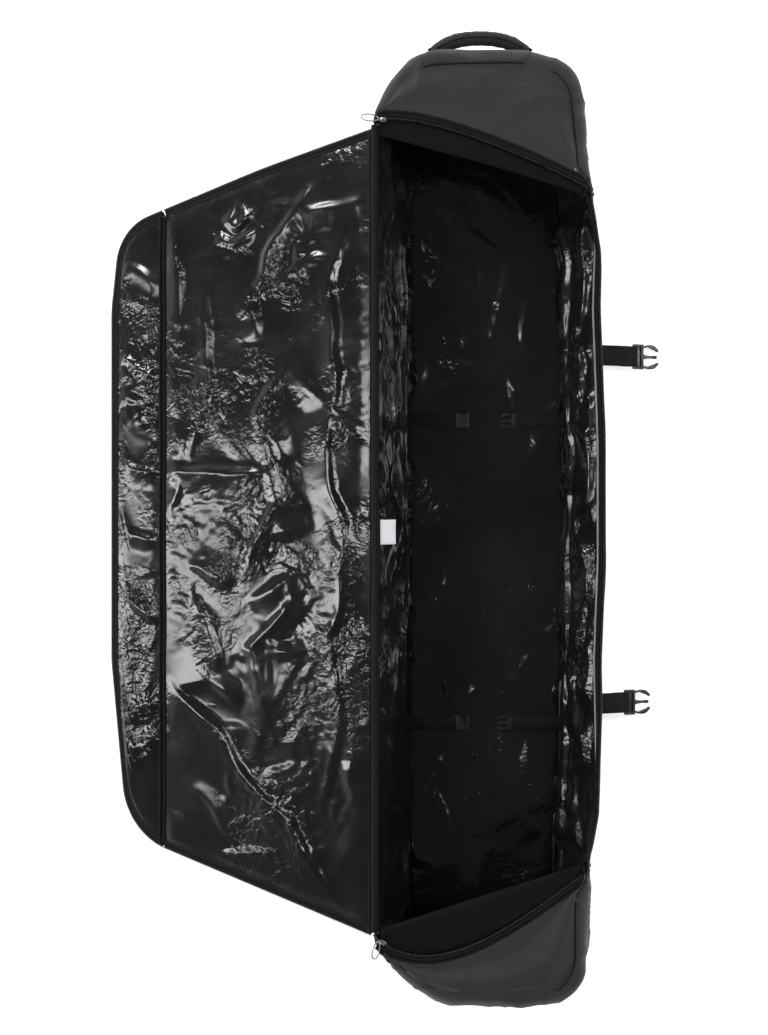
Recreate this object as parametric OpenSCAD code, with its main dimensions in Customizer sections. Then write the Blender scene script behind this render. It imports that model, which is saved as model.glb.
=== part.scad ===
// Snowboard bag with its padded lid folded open on the floor.
// Origin: middle of the base on the floor, +Y to the head end, -X to the hinge side, +Z up.

/* [Body] */
// Half width of the body at the hinge line
half_w = 204; // [200:1:208]
// Half length of the body at its widest height
half_len = 817; // [812:1:822]
// Height of the walls at the hinge
wall_top = 198.5; // [196:0.5:199]
// Height at which the body is widest
belly_z = 100; // [90:1:110]

/* [Layers] */
// Thickness of the outer fabric
shell_t = 1.2; // [1:0.1:1.6]
// Thickness of the foam padding
foam_t = 6; // [5:0.5:6.5]
// Thickness of the lining
lining_t = 0.8; // [0.6:0.1:1]

/* [Lid] */
// Height of the hinge axis
hinge_z = 200; // [200:0.5:201]
// Opening angle of the lid, from closed to resting on the floor
lid_open = 202.4; // [195:0.1:202.4]
// Distance from the hinge to the fold between lid and lid side
fold_u = 402; // [400:1:403]
// Clearance from the hinge axis to the lid's panel
hinge_gap = 4; // [4:0.5:6]
// Clearance from the fold axis to the panels beside it
fold_gap = 3.4; // [3.4:0.1:5]

/* [Zip] */
// Visible width of the zip tape
tape_w = 12; // [10:1:14]
// Thickness of the zip tape
tape_t = 1.6; // [1.2:0.1:2]
// Gap between the two halves of the closed zip
rim_gap = 2.5; // [2:0.5:4]
// Diameter of the wire in the zip pulls
wire_d = 2; // [1.6:0.1:2.4]

/* [Straps] */
// Width of the outer compression straps
strap_w = 36; // [30:1:38]
// Length of webbing from the head strap's seam to its buckle
head_strap_len = 88; // [60:1:100]
// Length of webbing from the foot strap's seam to its buckle
foot_strap_len = 75; // [60:1:100]
// Width of the inner straps
inner_w = 24; // [20:1:26]
// Thickness of the webbing
web_t = 2; // [1.6:0.1:2.2]
// Droop of the outer straps at rest
strap_droop = 27; // [26:1:28]

/* [Handles] */
// Radius of the padded grip on the head end
grip_r = 11; // [9:0.5:11]
// How far the grip's centre stands off the head wall
grip_out = 19.5; // [19:0.5:21]
// Span of the head handle between its outer edges
grip_span = 172; // [150:1:180]

/* [Hidden] */
$fn = 40;
arc_step = 12;
stack_t = shell_t + foam_t + lining_t;
foam_d = shell_t;
lining_d = shell_t + foam_t;
seam_gap = 0.3;
join_gap = 1.5;
patch_rows = [0, 0.5, 1];
slider_start = 12;

// Plan outline of the body, counter-clockwise from the foot end of the hinge: x, y, corner radius
plan_corners = [
    [-half_w, -half_len - 4, 160], [165, -half_len - 4, 72],
    [170, -575, 60], [186, -500, 80], [half_w, -60, 900], [half_w, 150, 900], [191, 480, 60],
    [176, 555, 60], [150, 790, 60], [60, half_len, 120], [-half_w, half_len, 118]
];
// Lid outline in its own plane, from the hinge line (u) and along it (v)
lid_corners = [
    [-40, -707.8, 0], [474.5, -543.6, 125], [506, -240, 200], [506, 385, 250],
    [489, 529.5, 93], [210, 618.5, 1200], [-40, 686, 0]
];
// Control points of the hood rims; the last one sits on the right wall's outline
head_rim_y = 571;
foot_rim_y = -583;

function unit(v) = v / norm(v);
function corner(a, v, b, inset) =
    let (
        p = [v.x, v.y],
        to_a = unit([a.x - v.x, a.y - v.y]),
        to_b = unit([b.x - v.x, b.y - v.y]),
        half = acos(to_a * to_b) / 2,
        inward = unit(to_a + to_b),
        c = p + inward * v[2] / sin(half),
        t1 = p + to_a * v[2] / tan(half) - c,
        t2 = p + to_b * v[2] / tan(half) - c,
        a1 = atan2(t1.y, t1.x),
        sweep = (atan2(t2.y, t2.x) - a1 + 540) % 360 - 180,
        n = max(1, ceil(abs(sweep) / arc_step))
    )
    v[2] == 0
        ? [p + inward * inset / sin(half)]
        : [for (i = [0:n]) c + (v[2] - inset) * [cos(a1 + sweep * i / n), sin(a1 + sweep * i / n)]];
function rounded(pts, inset = 0) =
    [for (i = [0:len(pts) - 1])
        each corner(pts[(i + len(pts) - 1) % len(pts)], pts[i], pts[(i + 1) % len(pts)], inset)];

outline = rounded(plan_corners);
lid_edge = rounded(lid_corners);
right_side = [for (p = outline) if (p.x > 0 && abs(p.y) < 740) [p.y, p.x]];
head_side = [for (i = [len(outline) - 1:-1:0]) if (outline[i].y > 690) [outline[i].x, outline[i].y]];
function right_x(y) = lookup(y, right_side);
function head_y(x) = lookup(x, head_side);

// How far each wall stands inside the widest outline at height z
function end_inset(z) = z < belly_z ? 34 * pow(1 - z / belly_z, 1.6) : 9 * pow((z - belly_z) / belly_z, 2);
function hinge_inset(z) = 49 * (1 - z / hinge_z);
function front_inset(z) = z < belly_z ? 59 * pow(1 - z / belly_z, 1.1) : 10 * pow((z - belly_z) / belly_z, 2);
function side_inset(x, z) = x < 0 ? hinge_inset(z) : front_inset(z);
// A point of the wall at height z and depth d behind its outer face
function wall_pt(x, y, z, d) =
    [x * (1 - (side_inset(x, z) + d) / half_w), y * (1 - (end_inset(z) + d) / half_len), z];
function level(z, d) = [for (p = outline) let (q = wall_pt(p.x, p.y, z, d)) [q.x, q.y]];
function rim_end(y) = wall_pt(right_x(y), y, wall_top, 0).x;

head_rim = [[-200, 689], [-130, 706], [40, 640], [rim_end(head_rim_y), head_rim_y]];
foot_rim = [[-200, -700], [-100, -775], [20, -690], [rim_end(foot_rim_y), foot_rim_y]];
function bezier(p, t) =
    pow(1 - t, 3) * p[0] + 3 * t * pow(1 - t, 2) * p[1] + 3 * t * t * (1 - t) * p[2] + pow(t, 3) * p[3];
// Rim point at t, moved by off towards the end of the bag
function rim_pt(p, t, off) =
    let (a = bezier(p, max(t - 0.01, 0)), b = bezier(p, min(t + 0.01, 1)), dir = unit(b - a))
    bezier(p, t) + off * sign(p[0].y) * [-dir.y, dir.x];
rim_steps = [for (i = [0:14]) i / 14];
function edge_v(u, head) = lookup(u, [for (p = lid_edge) if ((p.y > 0) == head && p.x < 480) [p.x, p.y]]);

// Wall columns: outline x, outline y, bottom height, top height
function zip_z(u) = wall_top - (u - fold_u) - rim_gap;
function zip_line() = concat(
    [[foot_rim_y, wall_top]],
    [for (p = lid_edge) if (p.x > fold_u + 6 && p.y < -245) [p.y, zip_z(p.x)]],
    [for (y = [-200:70:360]) [y, zip_z(506)]],
    [for (p = lid_edge) if (p.x > fold_u + 6 && p.y > 385) [p.y, zip_z(p.x)]],
    [[head_rim_y, wall_top]]);
front_cols = [for (c = zip_line()) [right_x(c[0]), c[0], 0, c[1] - tape_w]];
tape_cols = [for (c = zip_line()) [right_x(c[0]), c[0], c[1] - tape_w + seam_gap, c[1]]];
foot_cols = concat(
    [for (p = outline) if (p.y < foot_rim_y - join_gap && !(p.x < 0 && p.y > -640)) [p.x, p.y, 0, wall_top]],
    [[right_x(foot_rim_y), foot_rim_y - join_gap, 0, wall_top]]);
head_cols = concat(
    [[right_x(head_rim_y), head_rim_y + join_gap, 0, wall_top]],
    [for (p = outline) if (p.y > head_rim_y + join_gap) [p.x, p.y, 0, wall_top]]);
hinge_cols = [
    [-half_w, outline[len(outline) - 1].y - join_gap, 0, wall_top - 2.4],
    [-half_w, outline[0].y + join_gap, 0, wall_top - 2.4]
];

lift_rows = [0, 0.04, 0.12, 0.25, 0.4, 0.52, 0.7, 0.86, 1];
grip_z = 125;
tape_rise = 1.5;
front_y = [300, -312];
front_z = 65;
inner_y = [187, -350];
inner_z = 12.4;
side_grip_z = 150;

// Closed slab between two offsets of the wall, over a list of columns
module wall_slab(cols, d0, d1, rows = lift_rows) {
    m = len(cols);
    n = len(rows);
    pts = [for (d = [d0, d1]) for (c = cols) for (f = rows) wall_pt(c[0], c[1], c[2] + (c[3] - c[2]) * f, d)];
    function a(i, j) = i * n + j;
    function b(i, j) = m * n + i * n + j;
    faces = concat(
        [for (i = [0:m - 2]) for (j = [0:n - 2]) each [
            [a(i, j), a(i + 1, j + 1), a(i + 1, j)], [a(i, j), a(i, j + 1), a(i + 1, j + 1)],
            [b(i, j), b(i + 1, j), b(i + 1, j + 1)], [b(i, j), b(i + 1, j + 1), b(i, j + 1)]]],
        [for (j = [0:n - 2]) each [
            [a(0, j + 1), a(0, j), b(0, j + 1)], [a(0, j), b(0, j), b(0, j + 1)],
            [a(m - 1, j), a(m - 1, j + 1), b(m - 1, j + 1)], [a(m - 1, j), b(m - 1, j + 1), b(m - 1, j)]]],
        [for (i = [0:m - 2]) each [
            [a(i, 0), a(i + 1, 0), b(i + 1, 0)], [a(i, 0), b(i + 1, 0), b(i, 0)],
            [a(i + 1, n - 1), a(i, n - 1), b(i, n - 1)], [a(i + 1, n - 1), b(i, n - 1), b(i + 1, n - 1)]]]);
    polyhedron(points = pts, faces = faces, convexity = 6);
}

// Flat slab of the floor, between two heights
module floor_slab(z0, z1) {
    translate([0, 0, z0]) linear_extrude(z1 - z0) polygon(level(0, stack_t + 0.4));
}

// The part of the body's top outline between two offsets from a hood's rim
module hood_region(rim, off0, off1) {
    far = sign(rim[0].y) * 1000;
    edge = [for (t = rim_steps) rim_pt(rim, t, off0)];
    back = off1 > 0
        ? [for (i = [len(rim_steps) - 1:-1:0]) rim_pt(rim, rim_steps[i], off1)]
        : [[400, edge[len(edge) - 1].y], [400, far], [-400, far], [-400, edge[0].y]];
    intersection() {
        polygon(level(wall_top, 0));
        polygon(concat(edge, back));
    }
}

// Flat slab of a hood, between two heights above the walls
module hood_slab(rim, t0, t1) {
    translate([0, 0, wall_top + t0]) linear_extrude(t1 - t0) hood_region(rim, tape_w + seam_gap, 0);
}

// Storm flap behind a hood's zip, reaching just under the closed lid
module flap(rim, head) {
    ts = [for (i = [1:12]) i / 13.2];
    lid_side_pts = [for (i = [len(ts) - 1:-1:0]) let (p = bezier(rim, ts[i]))
        [p.x, edge_v(p.x + half_w, head) - sign(p.y) * 9]];
    translate([0, 0, wall_top - 1.3]) linear_extrude(1.1) intersection() {
        polygon(level(wall_top - 1.3, stack_t + 1));
        polygon(concat([for (t = ts) rim_pt(rim, t, tape_w)], lid_side_pts));
    }
}

// Places a child drawn in the closed lid's frame at the open lid's place
module lid_frame() {
    translate([-half_w, 0, hinge_z]) rotate([0, -lid_open, 0]) children();
}

module lid_outline(inset, u0, u1) {
    intersection() {
        polygon(rounded(lid_corners, inset));
        translate([u0, -800]) square([u1 - u0, 1600]);
    }
}

module lid_slab(t0, t1) {
    lid_frame() translate([0, 0, t0]) linear_extrude(t1 - t0)
        lid_outline(tape_w + seam_gap, hinge_gap, fold_u - fold_gap);
}

module lid_side_slab(t0, t1) {
    lid_frame() translate([0, 0, t0]) linear_extrude(t1 - t0)
        lid_outline(tape_w + seam_gap, fold_u + fold_gap, 520);
}

module lid_tape(u0, u1) {
    lid_frame() translate([0, 0, 1]) linear_extrude(tape_t) difference() {
        lid_outline(0, u0, u1);
        lid_outline(tape_w, u0 - 1, u1 + 1);
    }
}

// Webbing loop around a buckle bar: the hole is hole_l x hole_t
module web_loop(w, hole_l, hole_t) {
    translate([0, w / 2, 0]) rotate([90, 0, 0]) linear_extrude(w) difference() {
        square([hole_l + 2 * web_t, hole_t + 2 * web_t], center = true);
        square([hole_l, hole_t], center = true);
    }
}

// Strap of length l from the origin along +X, ending in a loop
module strap(w, l) {
    translate([2, -w / 2, -web_t / 2]) cube([l - 6.6, w, web_t]);
    translate([l, 0, 0]) web_loop(w, 5.2, 4.2);
}

// Male half of a side-release buckle; its bar is at the origin and it points along +X
module male_buckle(w, k) {
    t = 7 * k;
    bw = w + 8;
    difference() {
        translate([-6, -bw / 2, -t / 2]) cube([20, bw, t]);
        translate([-9.6, -w / 2 - 0.6, -t / 2 - 1]) cube([8, w + 1.2, t + 2]);
        translate([1.6, -w / 2 - 0.6, -t / 2 - 1]) cube([5.4, w + 1.2, t + 2]);
        translate([-9, -w / 2 - 0.6, 1.6]) cube([16, w + 1.2, t]);
        translate([-9, -w / 2 - 0.6, -1.6 - t]) cube([16, w + 1.2, t]);
    }
    translate([13.5, -3 * k, -2]) cube([26 * k, 6 * k, 4]);
    for (s = [0, 1]) mirror([0, s, 0]) translate([13.5, 0, -t * 0.4])
        linear_extrude(t * 0.8) polygon([
            [0, bw / 2 - 9 * k], [0, bw / 2 - 3 * k], [16 * k, bw / 2 - 2.5 * k], [20 * k, bw / 2],
            [29 * k, bw / 2 - 3 * k], [33 * k, bw / 2 - 9 * k], [29 * k, bw / 2 - 10 * k],
            [17 * k, bw / 2 - 8 * k]]);
}

// Female half: its bar is at the origin and its mouth opens along +X
module female_buckle(w, k) {
    t = 11.6 * k;
    bw = w + 10;
    difference() {
        translate([-6, -bw / 2, -t / 2]) cube([36 * k + 8, bw, t]);
        translate([-9.6, -w / 2 - 0.6, -t / 2 - 1]) cube([8, w + 1.2, t + 2]);
        translate([1.6, -w / 2 - 0.6, -t / 2 - 1]) cube([5.4, w + 1.2, t + 2]);
        translate([-9, -w / 2 - 0.6, 1.6]) cube([16, w + 1.2, t]);
        translate([-9, -w / 2 - 0.6, -1.6 - t]) cube([16, w + 1.2, t]);
        translate([10, -bw / 2 + 3, -t / 2 + 1.6]) cube([60, bw - 6, t - 3.2]);
        translate([15, -bw / 2 - 1, -t / 2 + 2.2]) cube([12 * k, bw + 2, t - 4.4]);
    }
}

// Zip slider: two plates and a bridge beside the tape, at the origin, running along +X
module slider() {
    translate([-9, -5, 3.4]) cube([18, 12, 1.6]);
    translate([-9, -5, 0.2]) cube([18, 12, 1]);
    translate([-9, -5, 1.2]) cube([18, 2, 2.2]);
    translate([-9, -1, 5]) cube([3, 4, 2.4]);
}

// Oval wire pull along -X from its eye at the origin
module wire_pull() {
    for (y = [-5, 5]) translate([-25, y, 0]) rotate([0, 90, 0]) cylinder(h = 20, d = wire_d);
    for (a = [0, 180]) translate([a == 0 ? -5 : -25, 0, 0]) rotate([0, 0, a - 90])
        rotate_extrude(angle = 180) translate([5, 0]) circle(d = wire_d);
}

// Flat U of webbing hanging along a wall, hinged at its top edge
module flat_handle(span, drop, w, t) {
    linear_extrude(t) difference() {
        polygon(rounded([[-drop, -span / 2, 26], [0, -span / 2, 0], [0, span / 2, 0], [-drop, span / 2, 26]]));
        polygon(rounded([[-drop + w, -span / 2 + w, 8], [1, -span / 2 + w, 0], [1, span / 2 - w, 0],
            [-drop + w, span / 2 - w, 8]]));
    }
}

module floor_shell() { color("#303133") floor_slab(0, shell_t); }
module floor_foam() { color("#c9c9c4") floor_slab(shell_t, shell_t + foam_t); }
module floor_lining() { color("#242727") floor_slab(shell_t + foam_t, stack_t); }

module hinge_wall_shell() { color("#303133") wall_slab(hinge_cols, 0, foam_d, [0, 1]); }
module hinge_wall_foam() { color("#c9c9c4") wall_slab(hinge_cols, foam_d, lining_d, [0, 1]); }
module hinge_wall_lining() { color("#242727") wall_slab(hinge_cols, lining_d, stack_t, [0, 1]); }
module front_wall_shell() { color("#303133") wall_slab(front_cols, 0, foam_d); }
module front_wall_foam() { color("#c9c9c4") wall_slab(front_cols, foam_d, lining_d); }
module front_wall_lining() { color("#242727") wall_slab(front_cols, lining_d, stack_t); }
module head_wall_shell() { color("#38393b") wall_slab(head_cols, 0, foam_d); }
module head_wall_foam() { color("#c9c9c4") wall_slab(head_cols, foam_d, lining_d); }
module head_wall_lining() { color("#242727") wall_slab(head_cols, lining_d, stack_t); }
module foot_wall_shell() { color("#38393b") wall_slab(foot_cols, 0, foam_d); }
module foot_wall_foam() { color("#c9c9c4") wall_slab(foot_cols, foam_d, lining_d); }
module foot_wall_lining() { color("#242727") wall_slab(foot_cols, lining_d, stack_t); }

module head_hood_shell() { color("#38393b") hood_slab(head_rim, lining_t + foam_t, stack_t); }
module head_hood_foam() { color("#c9c9c4") hood_slab(head_rim, lining_t, lining_t + foam_t); }
module head_hood_lining() { color("#242727") hood_slab(head_rim, 0, lining_t); }
module foot_hood_shell() { color("#38393b") hood_slab(foot_rim, lining_t + foam_t, stack_t); }
module foot_hood_foam() { color("#c9c9c4") hood_slab(foot_rim, lining_t, lining_t + foam_t); }
module foot_hood_lining() { color("#242727") hood_slab(foot_rim, 0, lining_t); }

module hinge_piping() {
    color("#2e2e30") translate([-half_w, -645, hinge_z]) rotate([-90, 0, 0]) cylinder(h = 1317, d = 7);
}
module front_zip_tape() { color("#1c1c1e") wall_slab(tape_cols, 2, 2 + tape_t, [0, 1]); }
module head_zip_tape() {
    color("#1c1c1e") translate([0, 0, wall_top + tape_rise]) linear_extrude(tape_t) hood_region(head_rim, 0, tape_w);
}
module foot_zip_tape() {
    color("#1c1c1e") translate([0, 0, wall_top + tape_rise]) linear_extrude(tape_t) hood_region(foot_rim, 0, tape_w);
}
module head_storm_flap() { color("#1c1c1e") flap(head_rim, true); }
module foot_storm_flap() { color("#1c1c1e") flap(foot_rim, false); }
module care_label() {
    color("#f0f2f4") translate([-192, -31, 195]) rotate([0, 24, 0]) cube([28, 42, 0.6]);
}
module haul_handle_facing() {
    cols = [for (x = [70:-14:-112]) [x, head_y(x), 146, 186]];
    color("#2a2a2c") wall_slab(cols, -2.8, -1, patch_rows);
}
module side_handle_patches() {
    color("#2a2a2c") for (y = [-66, 66])
        wall_slab([[-half_w, y + 20, side_grip_z + 4, 184], [-half_w, y - 20, side_grip_z + 4, 184]],
            -2, -0.2, [0, 1]);
}
module outer_strap_patches() {
    color("#222224") for (y = front_y)
        wall_slab([for (k = [-1:1]) [right_x(y), y + k * strap_w / 2, front_z + 4, front_z + 24]], -2.8, -1, patch_rows);
}
module inner_strap_patches() {
    color("#222224") for (y = inner_y) for (s = [-1, 1])
        wall_slab([for (k = [-s, s]) [s > 0 ? right_x(y) : -half_w, y + k * inner_w / 2, 20, 44]],
            stack_t + 1, stack_t + 2.8, [0, 1]);
}

module lid_shell() { color("#303133") lid_slab(lining_t + foam_t, stack_t); }
module lid_foam() { color("#c9c9c4") lid_slab(lining_t, lining_t + foam_t); }
module lid_lining() { color("#242727") lid_slab(0, lining_t); }
module lid_zip_tape() { color("#1c1c1e") lid_tape(hinge_gap, fold_u - fold_gap); }
module lid_seam_piping() {
    color("#1c1c1e") lid_frame() translate([fold_u, -563, 0]) rotate([-90, 0, 0]) cylinder(h = 1115, d = 6);
}
module lid_side_shell() { color("#303133") lid_side_slab(lining_t + foam_t, stack_t); }
module lid_side_foam() { color("#c9c9c4") lid_side_slab(lining_t, lining_t + foam_t); }
module lid_side_lining() { color("#242727") lid_side_slab(0, lining_t); }
module lid_side_zip_tape() { color("#1c1c1e") lid_tape(fold_u + fold_gap, 520); }
module lid_strap_patches() {
    color("#222224") lid_frame() for (y = front_y)
        translate([fold_u + fold_gap + 0.6, y - strap_w / 2, stack_t]) cube([6, strap_w, 3]);
}

module haul_frame() { translate([-20, half_len, grip_z]) children(); }
module haul_grip() {
    color("#262628") haul_frame() translate([-grip_span / 2 + 14, grip_out, 0]) rotate([0, 90, 0])
        cylinder(h = grip_span - 28, r = grip_r);
}
module haul_webbing() {
    color("#222224") haul_frame() for (s = [-1, 1])
        translate([s * (grip_span / 2 - 7) - 6.9, 2, -1.2]) cube([13.8, grip_out + 4, 2.4]);
}
module side_handle() {
    lean = atan(49 / hinge_z);
    color("#222224") translate([-half_w + hinge_inset(side_grip_z), 0, side_grip_z]) rotate([0, 90 - lean, 0])
        translate([0, 0, -6]) rotate([0, 0, 180]) flat_handle(172, 70, 26, 3);
}

module slider_frame(rim, y_sign) {
    dir = unit(bezier(rim, 0.12) - bezier(rim, 0));
    start = rim[0] + slider_start * dir;
    translate([start.x, start.y, wall_top]) rotate([0, 0, atan2(dir.y, dir.x)])
        mirror([0, y_sign > 0 ? 0 : 1, 0]) translate([0, -1, 0]) children();
}
module head_slider() { color("#c8c8cc") slider_frame(head_rim, 1) slider(); }
module foot_slider() { color("#c8c8cc") slider_frame(foot_rim, -1) slider(); }
module head_pull() {
    color("#c8c8cc") slider_frame(head_rim, 1) translate([-7, 1, 10]) rotate([0, 0, -12]) wire_pull();
}
module foot_pull() {
    color("#c8c8cc") slider_frame(foot_rim, -1) translate([-7, 1, 10]) rotate([0, 0, -104]) wire_pull();
}

module outer_strap_frame(y) {
    start = wall_pt(right_x(y), y, front_z, -2.4);
    translate([start.x, y, front_z]) rotate([0, strap_droop, 0]) children();
}
module head_outer_strap() { color("#222224") outer_strap_frame(front_y[0]) strap(strap_w, head_strap_len); }
module foot_outer_strap() { color("#222224") outer_strap_frame(front_y[1]) strap(strap_w, foot_strap_len); }
module head_male_buckle() {
    color("#1a1a1c") outer_strap_frame(front_y[0]) translate([head_strap_len, 0, 0]) male_buckle(strap_w, 1);
}
module foot_male_buckle() {
    color("#1a1a1c") outer_strap_frame(front_y[1]) translate([foot_strap_len, 0, 0]) male_buckle(strap_w, 1);
}
module female_frame(y) { lid_frame() translate([fold_u + 16, y, stack_t + 5.8]) children(); }
module female_half(y) {
    female_frame(y) {
        translate([11, 0, 0]) female_buckle(strap_w, 1);
        translate([-4.6, -strap_w / 2, -1]) cube([11, strap_w, web_t]);
        translate([11, 0, 0]) web_loop(strap_w, 5.2, 4.2);
    }
}
module head_female_buckle() { color("#1a1a1c") female_half(front_y[0]); }
module foot_female_buckle() { color("#1a1a1c") female_half(front_y[1]); }

module inner_frame(y, side) {
    x = wall_pt(side > 0 ? right_x(y) : -half_w, y, inner_z, stack_t + 3).x;
    translate([x, y, inner_z]) mirror([side > 0 ? 1 : 0, 0, 0]) children();
}
module inner_hinge_half(y) {
    color("#222224") inner_frame(y, -1) {
        strap(inner_w, 88);
        translate([88, 0, 0]) female_buckle(inner_w, 0.66);
    }
}
module inner_front_half(y) {
    color("#222224") inner_frame(y, 1) {
        strap(inner_w, 88);
        translate([88, 0, 0]) male_buckle(inner_w, 0.66);
    }
}
module head_inner_hinge_strap() { inner_hinge_half(inner_y[0]); }
module foot_inner_hinge_strap() { inner_hinge_half(inner_y[1]); }
module head_inner_front_strap() { inner_front_half(inner_y[0]); }
module foot_inner_front_strap() { inner_front_half(inner_y[1]); }

floor_shell();
floor_foam();
floor_lining();
hinge_wall_shell();
hinge_wall_foam();
hinge_wall_lining();
front_wall_shell();
front_wall_foam();
front_wall_lining();
head_wall_shell();
head_wall_foam();
head_wall_lining();
foot_wall_shell();
foot_wall_foam();
foot_wall_lining();
head_hood_shell();
head_hood_foam();
head_hood_lining();
foot_hood_shell();
foot_hood_foam();
foot_hood_lining();
hinge_piping();
front_zip_tape();
head_zip_tape();
foot_zip_tape();
head_storm_flap();
foot_storm_flap();
care_label();
haul_handle_facing();
side_handle_patches();
outer_strap_patches();
inner_strap_patches();
lid_shell();
lid_foam();
lid_lining();
lid_zip_tape();
lid_seam_piping();
lid_side_shell();
lid_side_foam();
lid_side_lining();
lid_side_zip_tape();
lid_strap_patches();
haul_grip();
haul_webbing();
side_handle();
head_slider();
foot_slider();
head_pull();
foot_pull();
head_outer_strap();
foot_outer_strap();
head_male_buckle();
foot_male_buckle();
head_female_buckle();
foot_female_buckle();
head_inner_hinge_strap();
foot_inner_hinge_strap();
head_inner_front_strap();
foot_inner_front_strap();
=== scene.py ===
"""Visual model of a snowboard bag lying open on a studio floor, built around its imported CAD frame."""
import math

import bpy
import mathutils
import numpy as np
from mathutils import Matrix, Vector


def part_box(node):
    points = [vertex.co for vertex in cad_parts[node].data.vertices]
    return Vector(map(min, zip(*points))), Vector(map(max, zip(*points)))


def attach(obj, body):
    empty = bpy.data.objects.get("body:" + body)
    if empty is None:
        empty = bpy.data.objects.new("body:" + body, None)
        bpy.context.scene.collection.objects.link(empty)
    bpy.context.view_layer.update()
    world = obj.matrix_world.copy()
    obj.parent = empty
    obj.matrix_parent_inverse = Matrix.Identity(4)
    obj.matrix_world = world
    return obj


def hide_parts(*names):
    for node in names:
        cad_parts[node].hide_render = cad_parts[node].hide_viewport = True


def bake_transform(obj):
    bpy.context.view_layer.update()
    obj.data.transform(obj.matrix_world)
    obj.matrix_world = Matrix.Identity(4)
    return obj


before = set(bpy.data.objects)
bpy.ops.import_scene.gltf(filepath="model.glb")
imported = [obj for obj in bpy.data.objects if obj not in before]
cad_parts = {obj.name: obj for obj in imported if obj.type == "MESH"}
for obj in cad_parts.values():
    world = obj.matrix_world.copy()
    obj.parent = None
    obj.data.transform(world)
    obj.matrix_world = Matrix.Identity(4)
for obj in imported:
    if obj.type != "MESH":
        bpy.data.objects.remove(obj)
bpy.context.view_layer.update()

# ---------------------------------------------------------------- dimensions, in metres
HALF_W = 0.204
HALF_LEN = 0.817
WALL_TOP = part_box("head_wall_shell")[1][2]
BELLY_Z = 0.100
HINGE_Z = 0.200
LID_OPEN = math.radians(202.4)
FOLD_U = 0.402
TAPE_W = 0.012
STACK = 0.008
RIM_GAP = 0.0025
HEAD_RIM_Y, FOOT_RIM_Y = 0.571, -0.583
HEAD_HINGE_Y, FOOT_HINGE_Y = 0.692, -0.700
FRONT_Y = (0.300, -0.312)
INNER_Y = (0.187, -0.350)
STRAP_W, INNER_W = 0.036, 0.024
UP = (0, 0, 1)
ENDS = (("head", True), ("foot", False))

PLAN_CORNERS = [
    (-HALF_W, -0.821, 0.160), (0.165, -0.821, 0.072), (0.170, -0.575, 0.060), (0.186, -0.500, 0.080),
    (HALF_W, -0.060, 0.900), (HALF_W, 0.150, 0.900), (0.191, 0.480, 0.060), (0.176, 0.555, 0.060),
    (0.150, 0.790, 0.060), (0.060, HALF_LEN, 0.120), (-HALF_W, HALF_LEN, 0.118),
]
LID_CORNERS = [
    (-0.040, -0.7078, 0), (0.4745, -0.5436, 0.125), (0.506, -0.240, 0.200), (0.506, 0.385, 0.250),
    (0.489, 0.5295, 0.093), (0.210, 0.6185, 1.200), (-0.040, 0.686, 0),
]


# ---------------------------------------------------------------- outlines shared with the frame
def unit(v):
    return v / np.linalg.norm(v)


def rounded(corners, inset=0.0, step=6.0):
    """Closed outline through corners (x, y, radius), counter-clockwise, moved inwards by inset."""
    out = []
    count = len(corners)
    for i, (x, y, r) in enumerate(corners):
        p = np.array((x, y))
        to_a = unit(np.array(corners[i - 1][:2]) - p)
        to_b = unit(np.array(corners[(i + 1) % count][:2]) - p)
        half = math.acos(np.clip(to_a @ to_b, -1, 1)) / 2
        inward = unit(to_a + to_b)
        if r == 0:
            out.append(p + inward * inset / math.sin(half))
            continue
        c = p + inward * r / math.sin(half)
        t1 = p + to_a * r / math.tan(half) - c
        t2 = p + to_b * r / math.tan(half) - c
        a1 = math.atan2(t1[1], t1[0])
        sweep = (math.atan2(t2[1], t2[0]) - a1 + 3 * math.pi) % (2 * math.pi) - math.pi
        n = max(2, math.ceil(abs(math.degrees(sweep)) / step))
        for k in range(n + 1):
            a = a1 + sweep * k / n
            out.append(c + (r - inset) * np.array((math.cos(a), math.sin(a))))
    return np.array(out)


OUTLINE = rounded(PLAN_CORNERS, step=2.0)
LID_EDGE = rounded(LID_CORNERS, step=2.0)
RIGHT = np.array([p for p in OUTLINE if p[0] > 0 and abs(p[1]) < 0.74])


def right_x(y):
    return np.interp(y, RIGHT[:, 1], RIGHT[:, 0])


def end_inset(z):
    """How far the end walls stand in at height z: they belly out at BELLY_Z."""
    low = 0.034 * np.clip(1 - z / BELLY_Z, 0, 1) ** 1.6
    return low + 0.009 * (np.clip(z - BELLY_Z, 0, None) / BELLY_Z) ** 2


def side_inset(x, z):
    """How far a side wall stands in at height z, on the hinge side where x < 0 and else on the front."""
    hinge = 0.049 * (1 - z / HINGE_Z)
    front = 0.059 * np.clip(1 - z / BELLY_Z, 0, 1) ** 1.1
    front = front + 0.010 * (np.clip(z - BELLY_Z, 0, None) / BELLY_Z) ** 2
    return np.where(x < 0, hinge, front)


def wall_pt(x, y, z, d=0.0):
    """Points of the wall at height z, d behind its outer face."""
    x, y, z, d = np.broadcast_arrays(*[np.asarray(v, float) for v in (x, y, z, d)])
    across = x * (1 - (side_inset(x, z) + d) / HALF_W)
    return np.stack((across, y * (1 - (end_inset(z) + d) / HALF_LEN), z), -1)


def rim_curve(head):
    """Control points, from above, of the hood's rim from the hinge to the front."""
    y = HEAD_RIM_Y if head else FOOT_RIM_Y
    last = wall_pt(right_x(y), y, WALL_TOP)[0]
    if head:
        return np.array(((-0.200, 0.689), (-0.130, 0.706), (0.040, 0.640), (last, y)))
    return np.array(((-0.200, -0.700), (-0.100, -0.775), (0.020, -0.690), (last, y)))


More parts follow.
